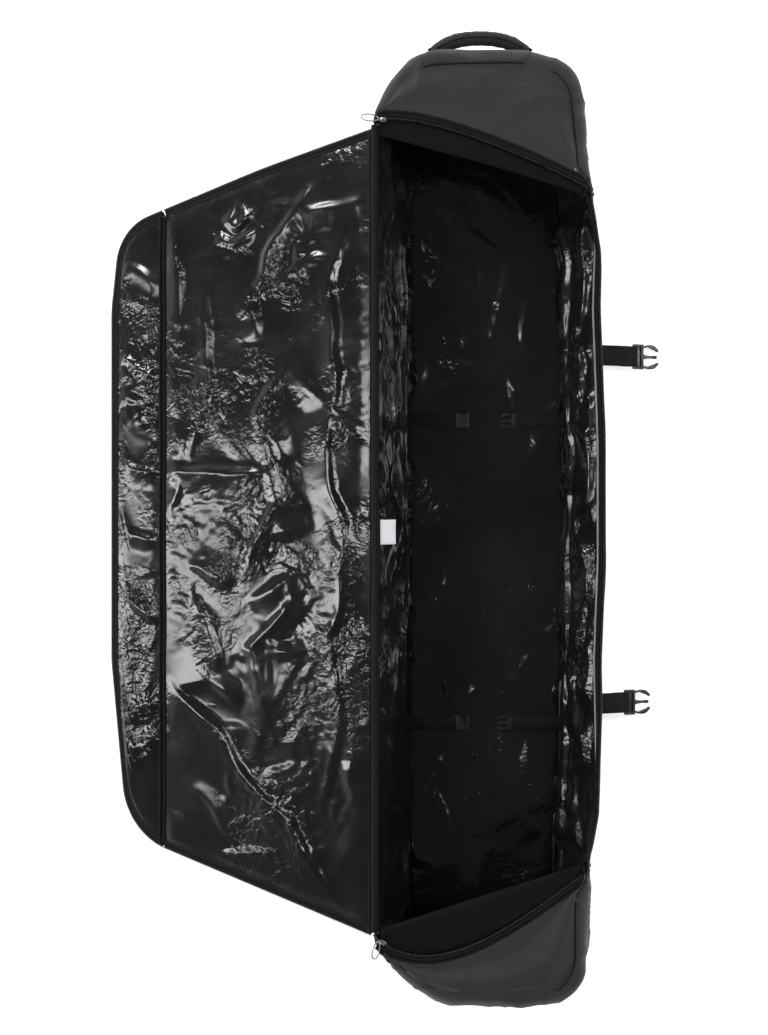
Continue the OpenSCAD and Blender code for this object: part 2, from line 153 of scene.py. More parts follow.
def bezier(p, t):
    t = np.asarray(t, float)[..., None]
    return (1 - t) ** 3 * p[0] + 3 * t * (1 - t) ** 2 * p[1] + 3 * t * t * (1 - t) * p[2] + t ** 3 * p[3]


def rim_pt(p, t, off):
    """Rim point at t, moved by off towards the end of the bag."""
    t = np.asarray(t, float)
    along = bezier(p, np.minimum(t + 0.01, 1)) - bezier(p, np.maximum(t - 0.01, 0))
    along /= np.linalg.norm(along, axis=-1, keepdims=True)
    normal = np.stack((-along[..., 1], along[..., 0]), -1) * np.sign(p[0][1])
    return bezier(p, t) + off * normal


def lid_pt(u, v, t=0.0):
    """A point of the open lid: u from the hinge, v along it, t to its shell side."""
    u, v, t = np.broadcast_arrays(*[np.asarray(a, float) for a in (u, v, t)])
    c, s = math.cos(LID_OPEN), math.sin(LID_OPEN)
    return np.stack((-HALF_W + u * c - t * s, v, HINGE_Z + u * s + t * c), -1)


# Out of the open lid's lining.
LID_UP = lid_pt(0, 0, -1) - lid_pt(0, 0, 0)


# ---------------------------------------------------------------- noise, the same on each run
def lattice(ix, iy, iz, seed):
    h = (ix * 374761393 + iy * 668265263 + iz * 2147483647 + seed * 1274126177) & 0xFFFFFFFF
    h = ((h ^ (h >> 13)) * 1274126177) & 0xFFFFFFFF
    return ((h ^ (h >> 16)) & 0xFFFF) / 32767.5 - 1


def noise(p, size, seed=0):
    """Smooth noise from -1 to 1 at points p, with features of about size."""
    q = np.asarray(p, float) / size
    i = np.floor(q).astype(np.int64)
    f = q - i
    f = f * f * f * (f * (f * 6 - 15) + 10)
    total = 0
    for dx in (0, 1):
        for dy in (0, 1):
            for dz in (0, 1):
                w = (f[..., 0] if dx else 1 - f[..., 0]) * (f[..., 1] if dy else 1 - f[..., 1])
                w = w * (f[..., 2] if dz else 1 - f[..., 2])
                total = total + w * lattice(i[..., 0] + dx, i[..., 1] + dy, i[..., 2] + dz, seed)
    return total


def folds(p, size, seed=0, stretch=(1, 1, 1)):
    """Sharp-backed ridges from 0 to 1, as in creased cloth; stretch lengthens them along an axis."""
    q = np.asarray(p, float) / np.array(stretch)
    q = q + 0.35 * size * np.stack([noise(q, size * 1.7, seed + k) for k in (11, 12, 13)], -1)
    return np.clip(1 - np.abs(noise(q, size, seed)) * 2.2, 0, 1) ** 2


# ---------------------------------------------------------------- mesh helpers
def new_object(name, verts, faces, material, smooth=True):
    mesh = bpy.data.meshes.new(name)
    mesh.from_pydata([tuple(map(float, v)) for v in verts], [], faces)
    mesh.validate()
    mesh.update()
    obj = bpy.data.objects.new(name, mesh)
    bpy.context.scene.collection.objects.link(obj)
    mesh.materials.append(material)
    if smooth:
        mesh.polygons.foreach_set("use_smooth", [True] * len(mesh.polygons))
    return obj


def grid_faces(m, n, start=0, flip=False):
    faces = []
    for i in range(m - 1):
        for j in range(n - 1):
            a = start + i * n + j
            quad = (a, a + n, a + n + 1, a + 1)
            faces.append(quad[::-1] if flip else quad)
    return faces


def sheet_object(name, pts, material, thickness=0.0, flip=False):
    """A cloth sheet from an m x n array of points; thickness is added behind it."""
    m, n = pts.shape[:2]
    obj = new_object(name, pts.reshape(-1, 3), grid_faces(m, n, flip=flip), material)
    if thickness:
        solid = obj.modifiers.new("thickness", "SOLIDIFY")
        solid.thickness = thickness
        solid.offset = -1
        solid.use_even_offset = False
        apply_modifiers(obj)
    return obj


def apply_modifiers(obj):
    deps = bpy.context.evaluated_depsgraph_get()
    mesh = bpy.data.meshes.new_from_object(obj.evaluated_get(deps))
    old = obj.data
    obj.modifiers.clear()
    obj.data = mesh
    bpy.data.meshes.remove(old)
    return obj


def normals_of(pts):
    """Unit normals of an m x n array of points, by i x j."""
    du = np.gradient(pts, axis=0)
    dv = np.gradient(pts, axis=1)
    n = np.cross(du, dv)
    return n / np.maximum(np.linalg.norm(n, axis=-1, keepdims=True), 1e-12)


def neighbours(path, closed):
    """The point after each point of path and the one before it; an open path has none past its ends."""
    if closed:
        return np.roll(path, -1, 0), np.roll(path, 1, 0)
    return np.vstack((path[1:], path[-1:])), np.vstack((path[:1], path[:-1]))


def ring_faces(count, sides, closed, turned):
    """Faces that join count rings of points, with caps on an open run; turned for clockwise rings."""
    faces = []
    for i in range(count if closed else count - 1):
        for j in range(sides):
            a, b = i * sides + j, i * sides + (j + 1) % sides
            c, d = ((i + 1) % count) * sides + (j + 1) % sides, ((i + 1) % count) * sides + j
            faces.append((a, d, c, b) if turned else (a, b, c, d))
    if not closed:
        near, far = tuple(range(sides)), tuple((count - 1) * sides + j for j in range(sides))
        faces += [near, far[::-1]] if turned else [near[::-1], far]
    return faces


def smooth_line(points, step):
    """A Catmull-Rom curve through the points, evenly spaced."""
    p = np.asarray(points, float)
    p = np.vstack((2 * p[0] - p[1], p, 2 * p[-1] - p[-2]))
    out = []
    for k in range(1, len(p) - 2):
        a, b, c, d = p[k - 1:k + 3]
        for t in np.linspace(0, 1, 12, endpoint=False):
            out.append(0.5 * (2 * b + (c - a) * t + (2 * a - 5 * b + 4 * c - d) * t * t
                              + (3 * b - a - 3 * c + d) * t ** 3))
    out.append(p[-2])
    return resample(np.array(out), step)


def tube(name, path, radius, material, sides=12, closed=False):
    """A tube swept along path; its radius may vary."""
    path = np.asarray(path, float)
    count = len(path)
    radius = np.broadcast_to(np.asarray(radius, float), (count,))
    after, behind = neighbours(path, closed)
    tangent = after - behind
    tangent /= np.linalg.norm(tangent, axis=1, keepdims=True)
    up = np.array((0.0, 0.0, 1.0))
    if abs(tangent[0] @ up) > 0.9:
        up = np.array((0.0, 1.0, 0.0))
    verts = []
    side = np.cross(tangent[0], up)
    for k in range(count):
        side = side - tangent[k] * (side @ tangent[k])
        side /= np.linalg.norm(side)
        over = np.cross(side, tangent[k])
        for s in range(sides):
            a = 2 * math.pi * s / sides
            verts.append(path[k] + radius[k] * (math.cos(a) * side + math.sin(a) * over))
    return new_object(name, verts, ring_faces(count, sides, closed, False), material)


def resample(path, step, closed=False):
    """The polyline path with points an even distance apart."""
    path = np.asarray(path, float)
    if closed:
        path = np.vstack((path, path[:1]))
    gap = np.linalg.norm(np.diff(path, axis=0), axis=1)
    at = np.concatenate(([0], np.cumsum(gap)))
    n = max(2, int(round(at[-1] / step)) + 1)
    s = np.linspace(0, at[-1], n)
    out = np.stack([np.interp(s, at, path[:, k]) for k in range(path.shape[1])], -1)
    return out[:-1] if closed else out


def join(name, objs):
    for o in bpy.context.selected_objects:
        o.select_set(False)
    for o in objs:
        o.select_set(True)
    bpy.context.view_layer.objects.active = objs[0]
    bpy.ops.object.join()
    objs[0].name = name
    objs[0].data.name = name
    return objs[0]


# ---------------------------------------------------------------- materials
class Nodes:
    """Small builder for a Principled material."""

    def __init__(self, name, color, roughness, metallic=0.0, sheen=0.0, specular=0.5, ior=1.5):
        self.mat = bpy.data.materials.new(name)
        self.mat.use_nodes = True
        self.tree = self.mat.node_tree
        self.bsdf = self.tree.nodes["Principled BSDF"]
        self.set("Base Color", (*color, 1))
        self.set("Roughness", roughness)
        self.set("Metallic", metallic)
        self.set("Sheen Weight", sheen)
        self.set("Sheen Roughness", 0.5)
        self.set("Specular IOR Level", specular)
        self.set("IOR", ior)
        self.coord = self.tree.nodes.new("ShaderNodeTexCoord").outputs["Object"]
        self.height = None

    def set(self, socket, value):
        self.bsdf.inputs[socket].default_value = value

    def add(self, kind, **inputs):
        node = self.tree.nodes.new(kind)
        for key, value in inputs.items():
            socket = node.inputs[int(key[1:])] if key[0] == "_" else node.inputs[key]
            if hasattr(value, "links"):
                self.tree.links.new(value, socket)
            else:
                socket.default_value = value
        return node

    def noise(self, scale, detail=3.0, rough=0.5, vector=None, distortion=0.0):
        node = self.add("ShaderNodeTexNoise", Vector=vector or self.coord, Scale=scale, Detail=detail,
                        Roughness=rough, Distortion=distortion)
        return node.outputs["Fac"]

    def wave(self, axis, scale, distortion=0.3):
        node = self.add("ShaderNodeTexWave", Vector=self.coord, Scale=scale, Distortion=distortion)
        node.bands_direction = axis
        return node.outputs["Fac"]

    def math(self, op, a, b):
        node = self.add("ShaderNodeMath", _0=a, _1=b)
        node.operation = op
        return node.outputs[0]

    def remap(self, value, low, high, a=0.0, b=1.0):
        node = self.add("ShaderNodeMapRange", Value=value)
        node.inputs[1].default_value = a
        node.inputs[2].default_value = b
        node.inputs[3].default_value = low
        node.inputs[4].default_value = high
        return node.outputs[0]

    def color(self, fac, stops):
        ramp = self.add("ShaderNodeValToRGB", Fac=fac)
        ramp.color_ramp.elements[0].position = stops[0][0]
        ramp.color_ramp.elements[0].color = (*stops[0][1], 1)
        ramp.color_ramp.elements[1].position = stops[-1][0]
        ramp.color_ramp.elements[1].color = (*stops[-1][1], 1)
        for at, rgb in stops[1:-1]:
            e = ramp.color_ramp.elements.new(at)
            e.color = (*rgb, 1)
        self.tree.links.new(ramp.outputs["Color"], self.bsdf.inputs["Base Color"])

    def link(self, value, socket):
        self.tree.links.new(value, self.bsdf.inputs[socket])

    def bump(self, value, distance, strength=1.0):
        node = self.add("ShaderNodeBump", Height=value, Strength=strength, Distance=distance)
        if self.height:
            self.tree.links.new(self.height, node.inputs["Normal"])
        self.height = node.outputs["Normal"]
        self.tree.links.new(self.height, self.bsdf.inputs["Normal"])


def woven(name, dark, light, pitch=0.0009, roughness=0.78, sheen=0.25, depth=0.00018, specular=0.5):
    """Plain-woven synthetic fabric: crossing yarns, soft cloudy wear and fine fuzz."""
    n = Nodes(name, light, roughness, sheen=sheen, specular=specular)
    scale = 0.314 / pitch
    yarns = n.math("MAXIMUM", n.wave("X", scale), n.math("MAXIMUM", n.wave("Y", scale), n.wave("Z", scale)))
    cloud = n.noise(9.0, 5.0, 0.6)
    fuzz = n.noise(900.0, 2.0, 0.6)
    tone = n.math("ADD", n.math("MULTIPLY", cloud, 0.7), n.math("MULTIPLY", fuzz, 0.3))
    n.color(tone, [(0.34, dark), (0.66, light)])
    n.link(n.remap(cloud, roughness - 0.08, roughness + 0.08, 0.3, 0.7), "Roughness")
    n.bump(yarns, depth, 0.8)
    n.bump(n.noise(60.0, 4.0, 0.6), 0.0009, 0.5)
    return n.mat


def lining_film():
    """Glossy coated lining: smooth and dark where it lies flat, finely crinkled where it is gathered."""
    n = Nodes("lining_film", (0.016, 0.018, 0.018), 0.2, ior=1.52)
    cloud = n.noise(4.5, 3.0)
    n.color(cloud, [(0.35, (0.0050, 0.0062, 0.0062)), (0.65, (0.0095, 0.0112, 0.0114))])
    where = n.remap(n.noise(6.5, 3.0, 0.6, distortion=0.8), 0.04, 1.0, 0.47, 0.63)
    n.link(n.remap(n.noise(11.0, 4.0, 0.6), 0.09, 0.21, 0.35, 0.65), "Roughness")
    for scale, depth in ((24.0, 0.0052), (70.0, 0.0018)):
        ridged = n.math("ABSOLUTE", n.math("SUBTRACT", n.noise(scale, 2.5, 0.5, distortion=0.7), 0.5), 0.0)
        n.bump(n.math("MULTIPLY", ridged, where), depth, 1.0)
    n.bump(n.noise(9.0, 2.0, 0.4), 0.0040, 0.5)
    return n.mat


def twill_tape(name, dark, light, pitch=0.0012):
    """Flat woven tape: fine ribs across a darker ground."""
    n = Nodes(name, light, 0.72, sheen=0.02, specular=0.16)
    scale = 0.314 / pitch
    ribs = n.math("MULTIPLY", n.wave("DIAGONAL", scale, 0.1), n.wave("Y", scale * 0.7, 0.2))
    n.color(n.math("ADD", n.math("MULTIPLY", ribs, 0.45), n.math("MULTIPLY", n.noise(30.0), 0.55)),
            [(0.25, dark), (0.75, light)])
    n.bump(ribs, 0.00025, 0.9)
    return n.mat


def plastic(name, dark, light, roughness=0.38):
    """Moulded acetal with a faint grain and scuffed tone."""
    n = Nodes(name, light, roughness)
    n.color(n.noise(35.0, 4.0), [(0.35, dark), (0.65, light)])
    n.link(n.remap(n.noise(80.0, 4.0), roughness - 0.08, roughness + 0.12, 0.35, 0.65), "Roughness")
    n.bump(n.noise(1500.0, 2.0), 0.00005, 0.6)
    return n.mat


def metal(name, dark, light, roughness=0.25):
    """Plated zinc with fine scratches."""
    n = Nodes(name, light, roughness, metallic=1.0)
    n.color(n.noise(220.0, 4.0), [(0.3, dark), (0.7, light)])
    n.link(n.remap(n.noise(600.0, 5.0), roughness - 0.08, roughness + 0.15, 0.3, 0.7), "Roughness")
    n.bump(n.noise(1800.0, 3.0), 0.00004, 0.5)
    return n.mat


def foam_sheet():
    n = Nodes("foam_sheet", (0.5, 0.5, 0.47), 0.9)
    cells = n.add("ShaderNodeTexVoronoi", Vector=n.coord, Scale=1200.0)
    n.color(n.noise(40.0, 4.0), [(0.3, (0.40, 0.40, 0.37)), (0.7, (0.55, 0.55, 0.51))])
    n.bump(cells.outputs["Distance"], 0.0002, 0.6)
    return n.mat


MAT = {
    "hood": woven("hood_fabric", (0.0135, 0.0138, 0.0148), (0.0225, 0.0230, 0.0245), sheen=0.15),
    "shell": woven("shell_fabric", (0.0120, 0.0122, 0.0132), (0.0200, 0.0205, 0.0220), sheen=0.15),
    "lining": lining_film(),
    "tape": twill_tape("zip_tape", (0.0018, 0.0018, 0.0020), (0.0042, 0.0042, 0.0046)),
    "binding": twill_tape("binding_tape", (0.0022, 0.0022, 0.0024), (0.0052, 0.0052, 0.0056), 0.0010),
    "piping": woven("piping_fabric", (0.0085, 0.0085, 0.0092), (0.0150, 0.0150, 0.0160), 0.0007, sheen=0.04,
                    specular=0.15),
    "webbing": twill_tape("webbing", (0.0050, 0.0050, 0.0054), (0.0125, 0.0125, 0.0134), 0.0018),
    "thread": woven("thread", (0.0085, 0.0085, 0.0090), (0.0170, 0.0170, 0.0180), 0.0004, sheen=0.05),
    "grip": woven("grip_fabric", (0.0060, 0.0060, 0.0066), (0.0130, 0.0130, 0.0140), 0.0008, sheen=0.15),
    "plastic": plastic("buckle_plastic", (0.008, 0.008, 0.009), (0.016, 0.016, 0.017)),
    "teeth": plastic("zip_coil", (0.010, 0.010, 0.011), (0.020, 0.020, 0.021), 0.30),
    "metal": metal("slider_metal", (0.30, 0.30, 0.31), (0.58, 0.58, 0.60)),
    "label": woven("label_satin", (0.74, 0.75, 0.78), (0.88, 0.89, 0.92), 0.0006, 0.6, 0.1, 0.00006),
    "foam": foam_sheet(),
}


# ---------------------------------------------------------------- lining sheets, crumpled by cloth simulation
# The films' points: rows up the walls and their places along them, and the floor's across and along.
HINGE_ROWS, FRONT_ROWS, FLOOR_GRID = 27, 22, (44, 205)
HINGE_YS = np.linspace(FOOT_HINGE_Y, HEAD_HINGE_Y, 175)
FRONT_YS = np.linspace(FOOT_RIM_Y, HEAD_RIM_Y, 150)
# Random folds of each panel: how many, the tallest, the shortest and longest, and the seed.
TENTS = {
    "lid": (46, 0.0085, (0.07, 0.26), 301), "lid_side": (26, 0.0042, (0.04, 0.11), 302),
    "hinge_wall": (90, 0.0100, (0.05, 0.14), 303), "front_wall": (70, 0.0090, (0.05, 0.14), 304),
    "floor": (90, 0.0085, (0.06, 0.25), 305),
}


def tents(name, flat):
    """Random folds over a flat panel: each has a sharp crest, one steep flank and one long flank."""
    count, height, spans, seed = TENTS[name]
    rng = np.random.default_rng(seed)
    lo, hi = flat.reshape(-1, 2).min(0), flat.reshape(-1, 2).max(0)
    q = np.dstack((flat, 0 * flat[..., 0]))
    p = flat + 0.016 * np.dstack((noise(q, 0.09, seed), noise(q, 0.09, seed + 1)))
    total = np.zeros(flat.shape[:2])
    for _ in range(count):
        a = lo + (hi - lo) * rng.random(2)
        turn = rng.random() * math.pi
        d = np.array((math.cos(turn), math.sin(turn)))
        length = spans[0] + (spans[1] - spans[0]) * rng.random() ** 1.5
        steep, gentle = 0.009 + 0.010 * rng.random(), 0.026 + 0.040 * rng.random()
        tall = height * (0.35 + 0.65 * rng.random())
        if rng.random() < 0.5:
            steep, gentle = gentle, steep
        along = (p - a) @ d / length
        across = (p - a) @ np.array((-d[1], d[0]))
        taper = np.clip(1 - np.abs(2 * along - 1), 0, 1) ** 0.6 * (along > 0) * (along < 1)
        side = np.where(across > 0, 1 - across / steep, 1 + across / gentle)
        total = np.maximum(total, tall * taper * np.clip(side, 0, 1))
    return total


def bulge(down, level, above, below):
    """1 at a level of the wall, falling to 0 over the distances above and below it."""
    return np.clip(1 - np.where(down < level, (level - down) / above, (down - level) / below), 0, 1)


def swags(flat, from_top):
    """Slack lining hanging in wandering bulges along a wall, fullest near the floor."""
    down = flat[..., 0] if from_top else flat[..., 0].max(0) - flat[..., 0]
    q = np.dstack((flat[..., 1], 0 * down, 0 * down))
    tall = down.max(0)
    level = tall * (0.42 + 0.20 * noise(q, 0.11, 401)) + 0.02 * noise(np.dstack((flat, 0 * down)), 0.05, 402)
    second = tall * (0.80 + 0.10 * noise(q, 0.07, 403))
    return np.maximum(0.0095 * bulge(down, level, 0.014, 0.050), 0.0120 * bulge(down, second, 0.016, 0.040))


def edge_fade(m, n, cells):
    """1 over an m x n grid, falling to 0 over its outermost cells."""
    i, j = np.mgrid[0:m, 0:n]
    return np.clip(np.minimum(np.minimum(i, m - 1 - i), np.minimum(j, n - 1 - j)) / cells, 0, 1)


def crumple(panels, folds_at, frames=22, growth=0.016):
    """Drops slightly oversized film onto a flat bed with its edges held; gives each panel's (du, dv, height).
    panels is {name: m x n x 2 array of flat places}, folds_at the height that each starts from."""
    verts, faces, pins, spans = [], [], [], {}
    x = 0.0
    for name, flat in panels.items():
        m, n = flat.shape[:2]
        lift = 0.0015 + folds_at[name] * edge_fade(m, n, 2.0)
        shift = np.array((x - flat[..., 0].min(), 0))
        start = len(verts)
        verts += [(*(flat[i, j] + shift), lift[i, j]) for i in range(m) for j in range(n)]
        faces += grid_faces(m, n, start)
        pins += [start + i * n + j for i in range(m) for j in range(n) if i in (0, m - 1) or j in (0, n - 1)]
        spans[name] = (start, m, n, flat, shift)
        x += np.ptp(flat[..., 0]) + 0.05
    film = new_object("sim_film", verts, faces, MAT["lining"])
    group = film.vertex_groups.new(name="edge")
    group.add(pins, 1.0, "REPLACE")
    cloth = film.modifiers.new("cloth", "CLOTH")
    s = cloth.settings
    s.quality = 5
    s.mass = 0.10
    s.tension_stiffness = 15
    s.compression_stiffness = 15
    s.shear_stiffness = 6
    s.bending_stiffness = 1.2
    s.tension_damping = 12
    s.compression_damping = 12
    s.shear_damping = 10
    s.bending_damping = 2.0
    s.air_damping = 3
    s.shrink_min = -growth
    s.vertex_group_mass = "edge"
    cloth.collision_settings.use_collision = True
    cloth.collision_settings.distance_min = 0.0012
    cloth.collision_settings.use_self_collision = False
    cloth.point_cache.frame_start = 1
    cloth.point_cache.frame_end = frames
    corners = [(-0.1, -2, 0), (x + 0.1, -2, 0), (x + 0.1, 2, 0), (-0.1, 2, 0)]
    bed = new_object("sim_bed", corners, [(0, 1, 2, 3)], MAT["lining"])
    bed.modifiers.new("collision", "COLLISION")
    bed.collision.thickness_outer = 0.001
    scene = bpy.context.scene
    for f in range(1, frames + 1):
        scene.frame_set(f)
    deps = bpy.context.evaluated_depsgraph_get()
    mesh = film.evaluated_get(deps).to_mesh()
    co = np.empty(len(mesh.vertices) * 3)
    mesh.vertices.foreach_get("co", co)
    co = co.reshape(-1, 3)
    out = {}
    for name, (start, m, n, flat, shift) in spans.items():
        p = co[start:start + m * n].reshape(m, n, 3).copy()
        p[..., :2] -= shift + flat
        out[name] = p
    film.evaluated_get(deps).to_mesh_clear()
    scene.frame_set(1)
    bpy.data.objects.remove(film, do_unlink=True)
    bpy.data.objects.remove(bed, do_unlink=True)
    return out


def blurred(a, times):
    for _ in range(times):
        p = np.pad(a, ((1, 1), (1, 1), (0, 0)), mode="edge")
        a = (p[1:-1, 1:-1] + p[:-2, 1:-1] + p[2:, 1:-1] + p[1:-1, :-2] + p[1:-1, 2:]) / 5
    return a


def layered(flat, sim, start):
    """Broad sags from the simulation, its fine crinkles only in patches, and the large folds kept crisp."""
    m, n = flat.shape[:2]
    q = np.dstack((flat, np.zeros((m, n))))
    broad = blurred(sim, 9)
    patch = np.clip(noise(q, 0.12, 91) * 2.6 + 0.1, 0, 1)[..., None]
    fine = (sim - broad) * (0.10 + 0.75 * patch)
    out = broad + fine
    out[..., 2] = out[..., 2] * 0.7 + start * 0.75
    return out * edge_fade(m, n, 2.5)[..., None] + np.array((0, 0, 0.0008))


def drape(base, disp, cap=0.016):
    """base, an m x n array of points, moved by the panel's disp in its own tangents and normal."""
    du = np.gradient(base, axis=0)
    tu = du / np.maximum(np.linalg.norm(du, axis=-1, keepdims=True), 1e-9)
    nn = normals_of(base)
    tv = np.cross(nn, tu)
    h = np.clip(disp[..., 2:], 0, cap)
    return base + tu * disp[..., :1] + tv * disp[..., 1:2] + nn * h


# ---------------------------------------------------------------- panel surfaces
CELL = 0.0075


def lid_edge_v(u, head):
    """Place along the lid's length of its edge at u, at the head or foot end."""
    side = LID_EDGE[(LID_EDGE[:, 1] > 0) == head]
    side = side[side[:, 0] < 0.503]
    order = np.argsort(side[:, 0])
    return np.interp(u, side[order, 0], side[order, 1])


def inset_edge_v(u, head, inset):
    """As lid_edge_v, for the edge moved inwards by inset."""
    edge = rounded(LID_CORNERS, inset, 2.0)
    side = edge[(edge[:, 1] > 0) == head]
    side = side[side[:, 0] < 0.5065 - inset]
    order = np.argsort(side[:, 0])
    return np.interp(u, side[order, 0], side[order, 1])


def lid_grid(u0, u1, inset, cell=CELL):
    """Flat places (u, v) of a lid panel between u0 and u1, inset from the lid's edge."""
    m = max(3, int((u1 - u0) / cell) + 1)
    us = np.linspace(u0, u1, m)
    low, high = inset_edge_v(us, False, inset), inset_edge_v(us, True, inset)
    n = int(1.37 / cell)
    f = np.linspace(0, 1, n)
    v = low[:, None] + (high - low)[:, None] * f
    return np.dstack((np.repeat(us[:, None], n, 1), v))


def zip_height(y):
    """Height of the front wall's rim at a place along it, mirrored from the lid side's edge."""
    edge = LID_EDGE[LID_EDGE[:, 0] > FOLD_U + 0.006]
    z = WALL_TOP - (edge[:, 0] - FOLD_U) - RIM_GAP
    ys = np.concatenate(([FOOT_RIM_Y], edge[:, 1], [HEAD_RIM_Y]))
    zs = np.concatenate(([WALL_TOP], z, [WALL_TOP]))
    order = np.argsort(ys)
    return np.interp(y, ys[order], zs[order])


def front_surface(ys, fs, d, top_drop=TAPE_W):
    """Points of the front wall: along ys, then up it by the fractions fs."""
    top = zip_height(ys) - top_drop
    z = top[:, None] * fs[None, :]
    return wall_pt(right_x(ys)[:, None], ys[:, None], z, d)


def hinge_surface(ys, fs, d):
    """Points of the hinge wall: along ys, then up it by the fractions fs."""
    z = fs[None, :] * (WALL_TOP - 0.0024)
    return wall_pt(np.full((len(ys), 1), -HALF_W), ys[:, None], z, d)


def floor_surface(m, n, d, z):
    """Points of the floor panel as a grid across and along it."""
    edge = wall_pt(OUTLINE[:, 0], OUTLINE[:, 1], 0.0, d)[:, :2]
    ys = np.linspace(edge[:, 1].min() + 0.001, edge[:, 1].max() - 0.001, n)
    left = edge[edge[:, 0] < 0.045]
    right = edge[edge[:, 0] >= -0.045]
    lo = np.array([left[np.argsort(np.abs(left[:, 1] - y))[:2], 0].min() for y in ys])
    hi = np.array([right[np.argsort(np.abs(right[:, 1] - y))[:2], 0].max() for y in ys])
    f = np.linspace(0, 1, m)[:, None]
    x = lo[None, :] * (1 - f) + hi[None, :] * f
    return np.dstack((x, np.repeat(ys[None, :], m, 0), np.full((m, n), z)))


# ---------------------------------------------------------------- swept strips, stitches and zip teeth
def frames_along(path, over):
    """Unit vectors along an open path, across it and upright, with over as the rough upright direction."""
    after, behind = neighbours(path, False)
    t = after - behind
    t /= np.maximum(np.linalg.norm(t, axis=1, keepdims=True), 1e-9)
    over = np.broadcast_to(np.asarray(over, float), path.shape)
    o = over - t * np.sum(over * t, 1, keepdims=True)
    o /= np.maximum(np.linalg.norm(o, axis=1, keepdims=True), 1e-9)
    return t, np.cross(o, t), o


def sweep(name, path, over, section, material):
    """Carries section, a closed outline of (across, over) pairs, along path; over is its way up."""
    path = np.asarray(path, float)
    section = np.asarray(section, float)
    _, across, o = frames_along(path, over)
    pts = path[:, None] + section[None, :, :1] * across[:, None] + section[None, :, 1:] * o[:, None]
    return new_object(name, pts.reshape(-1, 3), ring_faces(len(path), len(section), False, True), material)


def flat_section(width, thick, low=0.0):
    """Section of a flat strip lying on its path, with softened edges."""
    w, r = width / 2, thick * 0.45
    top = low + thick
    return [(-w + r, low), (w - r, low), (w, low + r), (w, top - r), (w - r, top), (0, top),
            (-w + r, top), (-w, top - r), (-w, low + r)]


def bars(name, at, along, over, size, material):
    """Many small rounded blocks, one at each point; size is (length, width, height)."""
    at, along, over = (np.asarray(v, float) for v in (at, along, over))
    across = np.cross(over, along)
    l, w, h = size
    corners = [(-0.5, -0.3, 0), (0.5, -0.3, 0), (0.5, 0.3, 0), (-0.5, 0.3, 0),
               (-0.34, -0.5, 0.6), (0.34, -0.5, 0.6), (0.34, 0.5, 0.6), (-0.34, 0.5, 0.6),
               (-0.25, 0, 1), (0.25, 0, 1)]
    quads = [(0, 3, 2, 1), (0, 1, 5, 4), (1, 2, 6, 5), (2, 3, 7, 6), (3, 0, 4, 7),
             (4, 5, 9, 8), (6, 7, 8, 9), (5, 6, 9), (7, 4, 8)]
    local = np.array(corners) * (l, w, h)
    verts = (at[:, None] + local[None, :, :1] * along[:, None] + local[None, :, 1:2] * across[:, None]
             + local[None, :, 2:] * over[:, None]).reshape(-1, 3)
    faces = [tuple(10 * i + k for k in q) for i in range(len(at)) for q in quads]
    return new_object(name, verts, faces, material)


def stitches(name, rows, material=None, pitch=0.0042, width=0.0008, height=0.0005):
    """Rows of thread; each row is (path, over)."""
    parts = []
    for k, (path, over) in enumerate(rows):
        p = resample(path, pitch)
        if np.ndim(over) > 1:
            turned = np.linalg.norm(np.diff(over, axis=0), axis=1).sum()
            over = resample(over, turned / max(1, len(p) - 1) or 1)
            over = over[np.clip(np.arange(len(p)), 0, len(over) - 1)]
        t, _, o = frames_along(p, over)
        parts.append(bars(f"{name}_{k}", p, t, o, (pitch * 0.74, width, height), material or MAT["thread"]))
    return join(name, parts)


def coil(name, path, over, pitch=0.0024, width=0.0048, height=0.0022):
    """Zip teeth set across their path."""
    p = resample(path, pitch)
    over = np.broadcast_to(np.asarray(over, float), (len(path), 3))
    s = np.linspace(0, 1, len(path))
    o = np.stack([np.interp(np.linspace(0, 1, len(p)), s, over[:, k]) for k in range(3)], -1)
    _, across, o = frames_along(p, o)
    return bars(name, p, across, o, (width, pitch * 0.72, height), MAT["teeth"])


def moved_verts(obj, change):
    """Puts change(co) in place of co, the object's points as an n x 3 array."""
    mesh = obj.data
    co = np.empty(len(mesh.vertices) * 3)
    mesh.vertices.foreach_get("co", co)
    mesh.vertices.foreach_set("co", change(co.reshape(-1, 3)).ravel())
    mesh.update()
    return obj


def placed(obj, origin, x_axis, z_axis):
    """obj moved so that its own x and z axes point along x_axis and z_axis, from origin."""
    start, x, y, z = strap_frame(origin, x_axis, z_axis)
    return moved_verts(obj, lambda co: co @ np.array((x, y, z)) + start)


def plate(name, outline, z0, z1, material, bevel=0.0008):
    """A plate with the given outline between two heights, its edges rounded over."""
    n = len(outline)
    verts = [(x, y, z0) for x, y in outline] + [(x, y, z1) for x, y in outline]
    faces = [tuple(range(n))[::-1], tuple(range(n, 2 * n))]
    faces += [(i, (i + 1) % n, n + (i + 1) % n, n + i) for i in range(n)]
    obj = new_object(name, verts, faces, material)
    mod = obj.modifiers.new("edges", "BEVEL")
    mod.width = bevel
    mod.segments = 3
    mod.limit_method = "ANGLE"
    mod.angle_limit = math.radians(35)
    return apply_modifiers(obj)


def box_outline(x0, y0, x1, y1, r=0.0015):
    pts = []
    for cx, cy, a0 in ((x1 - r, y1 - r, 0), (x0 + r, y1 - r, 90), (x0 + r, y0 + r, 180),
                       (x1 - r, y0 + r, 270)):
        for a in (0, 30, 60, 90):
            t = math.radians(a0 + a)
            pts.append((cx + r * math.cos(t), cy + r * math.sin(t)))
    return pts


def finish_piece(obj, body, slot, *nodes):
    """Hands the piece to the frame: what it rides on and the CAD nodes that it stands for; slot is not used.
    """
    if body:
        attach(obj, body)
    if nodes:
        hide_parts(*nodes)
    return obj


